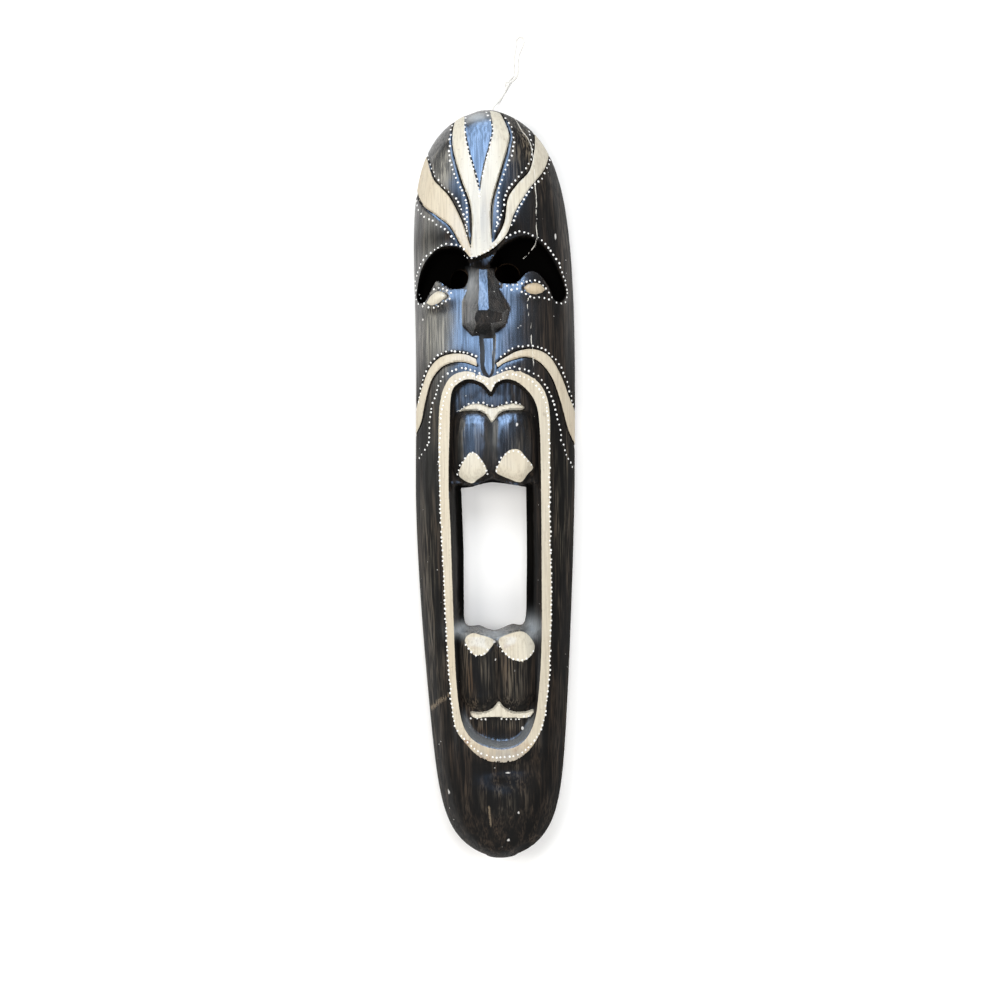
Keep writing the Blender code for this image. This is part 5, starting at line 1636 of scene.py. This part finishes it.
# %% The whole finish
def wood_material():
    """The whole mask's finish: stain or bare wood, its wear, its wax and its grain."""
    made, tree, shader = new_material("stained wood")
    where = add(tree, "ShaderNodeTexCoord").outputs["Object"]
    grain = use_group(tree, GRAIN, {"Where": where})
    hollow, behind = stored(tree, "hollow"), stored(tree, "behind")
    edge = {"Where": where, "Distance": stored(tree, "pale_mm"), **BAND_EDGE}
    pale = use_group(tree, RAGGED_EDGE, edge)["Mask"]
    width = calc(tree, "SUBTRACT", CRACK_HALF_MM, stored(tree, "crack_mm"))
    crack = use_group(tree, RAGGED_EDGE, {"Where": where, "Distance": width, **CRACK_EDGE})["Mask"]
    # Painted shade: a thin black line along each knife cut, where its steep wall is in shade; it gets no wax
    painted_cut_shade = step(tree, stored(tree, "cut_mm"), *CUT_SHADE_MM)
    front, unhollow, uncut, uncracked = (
        calc(tree, "SUBTRACT", 1.0, value) for value in (behind, hollow, painted_cut_shade, crack)
    )

    stain = stain_colour(tree, grain, hollow, behind, painted_cut_shade)
    colour = mix(tree, pale, stain, bare_colour(tree, where, grain))
    colour = with_wear(tree, where, colour, crack, grain["Fibres"], front, unhollow)

    shining = times(tree, step(tree, grain["Fibres"], *GLOSS_FIBRES), 1 - GLOSS_LEAST)
    gloss = times(tree, stored(tree, "wax"), plus(tree, GLOSS_LEAST, shining))
    shares = {"Factor": pale, 2: times(tree, gloss, uncut), 3: BARE_GLOSS}
    coat = times(tree, add(tree, "ShaderNodeMix", shares, data_type="FLOAT").outputs[0], uncracked)
    rough = plus(tree, ROUGH_LEAST, times(tree, grain["Patches"], ROUGH_PATCHES))
    fibre_height = times(tree, grain["Fibres"], FIBRE_HEIGHT)
    height = plus(tree, fibre_height, times(tree, grain["Bands"], BAND_HEIGHT))
    height = calc(tree, "SUBTRACT", height, times(tree, crack, CRACK_SUNK))
    bump = add(tree, "ShaderNodeBump", {"Height": height, **GRAIN_BUMP}).outputs[0]
    connect(tree, shader, Base_Color=colour, Coat_Weight=coat, Roughness=rough, Normal=bump)
    set_inputs(shader, Coat_IOR=WAX_IOR, Coat_Roughness=WAX_ROUGHNESS, Specular_IOR_Level=0.0)
    return made


carved_face.data.materials.append(wood_material())


# %% [markdown]
# ## The paint and the string
# The drops are thick white paint with a slight gloss, a little dirty in places. The string is cotton:
# dull and off white, with fine fibres across the strands and some dirt between them.

# %% Dot paint and string
PAINT_WHITE, PAINT_DIRTY = (0.90, 0.90, 0.88, 1), (0.70, 0.66, 0.58, 1)
PAINT_DIRT_NOISE, PAINT_DIRT_EDGE, PAINT_DIRT_SHARE = (55.0, 3.0), (0.52, 0.72), 0.4
PAINT_NOISE, PAINT_BUMP = (900.0, 2.0), {"Strength": 0.25, "Distance": 0.0002}
COTTON_WHITE, COTTON_DIRTY = (0.80, 0.79, 0.75, 1), (0.52, 0.49, 0.43, 1)
COTTON_DARK = (0.45, 0.43, 0.39, 1)
COTTON_FIBRES, COTTON_GAPS, COTTON_GAPS_SHARE = (2600.0, 3.0), (0.5, 0.3), 0.3
COTTON_DIRT_NOISE, COTTON_DIRT_EDGE, COTTON_DIRT_SHARE = (120.0, 3.0), (0.45, 0.75), 0.5
COTTON_BUMP = {"Strength": 0.6, "Distance": 0.0003}


def paint_material():
    """White paint, a little dirty in patches and not quite smooth."""
    made, tree, shader = new_material("white dot paint")
    where = add(tree, "ShaderNodeTexCoord").outputs["Object"]
    dirty = step(tree, noise(tree, where, *PAINT_DIRT_NOISE), *PAINT_DIRT_EDGE)
    colour = mix(tree, times(tree, dirty, PAINT_DIRT_SHARE), PAINT_WHITE, PAINT_DIRTY)
    height = {"Height": noise(tree, where, *PAINT_NOISE), **PAINT_BUMP}
    connect(tree, shader, Base_Color=colour, Normal=add(tree, "ShaderNodeBump", height).outputs[0])
    set_inputs(shader, Roughness=0.42)
    return made


def string_material():
    """Off-white cotton, dirty in patches and dark between its fibres."""
    made, tree, shader = new_material("cotton string")
    where = add(tree, "ShaderNodeTexCoord").outputs["Object"]
    fibres = noise(tree, where, *COTTON_FIBRES)
    dirt = step(tree, noise(tree, where, *COTTON_DIRT_NOISE), *COTTON_DIRT_EDGE)
    colour = mix(tree, times(tree, dirt, COTTON_DIRT_SHARE), COTTON_WHITE, COTTON_DIRTY)
    gaps = times(tree, step(tree, fibres, *COTTON_GAPS), COTTON_GAPS_SHARE)
    bump = add(tree, "ShaderNodeBump", {"Height": fibres, **COTTON_BUMP}).outputs[0]
    connect(tree, shader, Base_Color=mix(tree, gaps, colour, COTTON_DARK), Normal=bump)
    set_inputs(shader, Roughness=0.85)
    return made


paint_drops.data.materials.append(paint_material())
cotton = string_material()
hanging_string.data.materials.append(cotton)
string_knot.data.materials.append(cotton)

# %% [markdown]
# ## Floor and light
# The floor is plain and pale, so that only the mask speaks. It glows a very little, a painted light
# that lifts the mask's shadow, and a patch of painted shade darkens it under the two eye holes. The
# wax needs something to mirror: what faces up or towards the top of the head shines blue, as under a
# blue sky, and what faces left mirrors a pale wall. Those panels are only mirrored.
# Four soft boxes all round do the lighting, so that the shadows stay faint.

# %% The floor
FLOOR_HALF = 4
FLOOR_DROP = 0.0002
FLOOR_GREYS = (0.91, 0.91, 0.91, 1), (0.94, 0.94, 0.94, 1)
FLOOR_CLOUDS = 3.0
FLOOR_GLOW = 0.10
UNDER_EYES, UNDER_EYES_EDGE = (-0.004, 0.272, 0.0), (0.075, 0.090)
# The brown of the painted shade under the eye holes
PAINTED_SHADE_BROWN, BLACK, WHITE = (0.016, 0.010, 0.006, 1), (0, 0, 0, 1), (1, 1, 1, 1)


def floor_material():
    """Pale grey, with a patch of painted shade under the eye holes, and elsewhere a faint glow of painted
    light.
    """
    made, tree, shader = new_material("pale floor")
    where = add(tree, "ShaderNodeTexCoord").outputs["Object"]
    away = add(tree, "ShaderNodeVectorMath", {0: where, 1: UNDER_EYES}, operation="DISTANCE")
    open_floor = step(tree, away.outputs["Value"], *UNDER_EYES_EDGE)
    # Painted shade under the eye holes, and a faint painted glow elsewhere
    colour = mix(tree, open_floor, PAINTED_SHADE_BROWN, mix(tree, noise(tree, where, FLOOR_CLOUDS), *FLOOR_GREYS))
    connect(tree, shader, Base_Color=colour, Emission_Color=mix(tree, open_floor, BLACK, WHITE))
    set_inputs(shader, Emission_Strength=FLOOR_GLOW, Roughness=0.9, Specular_IOR_Level=0.0)
    return made


floor_sheet = bmesh.new()
bmesh.ops.create_grid(floor_sheet, x_segments=1, y_segments=1, size=FLOOR_HALF)
bmesh.ops.translate(floor_sheet, verts=floor_sheet.verts[:], vec=(0, 0, -FLOOR_DROP))
floor = put_in_scene("floor", as_mesh("floor", floor_sheet))
floor.data.materials.append(floor_material())


# %% The lights
def panel(name, place, turn, size, power, colour, mirrored):
    """A soft panel that only lights, or that the wax only mirrors, which keeps the two apart."""
    lamp = bpy.data.lights.new(name, "AREA")
    lamp.shape = "RECTANGLE"
    lamp.size, lamp.size_y = size
    lamp.energy = power
    lamp.color = colour
    thing = put_in_scene(name, lamp)
    thing.location = place
    thing.rotation_euler = [math.radians(angle) for angle in turn]
    thing.visible_camera = False
    thing.visible_diffuse = not mirrored
    thing.visible_glossy = mirrored


SKY_BLUE, WALL_CREAM = (0.37, 0.60, 1.0), (1.0, 0.99, 0.90)
WARM, COOL, NEARLY_WHITE = (1.0, 0.97, 0.92), (0.96, 0.98, 1.0), (1.0, 0.99, 0.97)
for lamp in (
    ("sky above", (-0.69, 0.75, 2.10), (0, 0, 0), (2.2, 1.0), 51, SKY_BLUE, True),
    ("sky at the top", (-0.33, 1.98, 1.40), (-40.3, 0, 0), (1.70, 2.16), 84, SKY_BLUE, True),
    ("wall on the left", (-2.40, 0.95, 0.95), (0, -45, 0), (2.4, 1.6), 27, WALL_CREAM, True),
    ("left softbox", (-1.40, 0.25, 1.75), (8, -38, 0), (1.1, 1.1), 31, WARM, False),
    ("top softbox", (-0.1, 1.60, 1.75), (-38, 0, 0), (1.1, 1.1), 26, COOL, False),
    ("right softbox", (1.40, -0.15, 1.75), (-4, 38, 0), (1.1, 1.1), 20, NEARLY_WHITE, False),
    ("lower softbox", (0.1, -1.55, 1.75), (38, 0, 0), (1.1, 1.1), 17, NEARLY_WHITE, False),
):
    panel(*lamp)

# %% The faint light from all round
AROUND_STRENGTH = 0.16

world = bpy.data.worlds.new("studio")
world.use_nodes = True
set_inputs(world.node_tree.nodes["Background"], Color=(*COOL, 1), Strength=AROUND_STRENGTH)
bpy.context.scene.world = world
bpy.context.scene.view_settings.view_transform = "Standard"
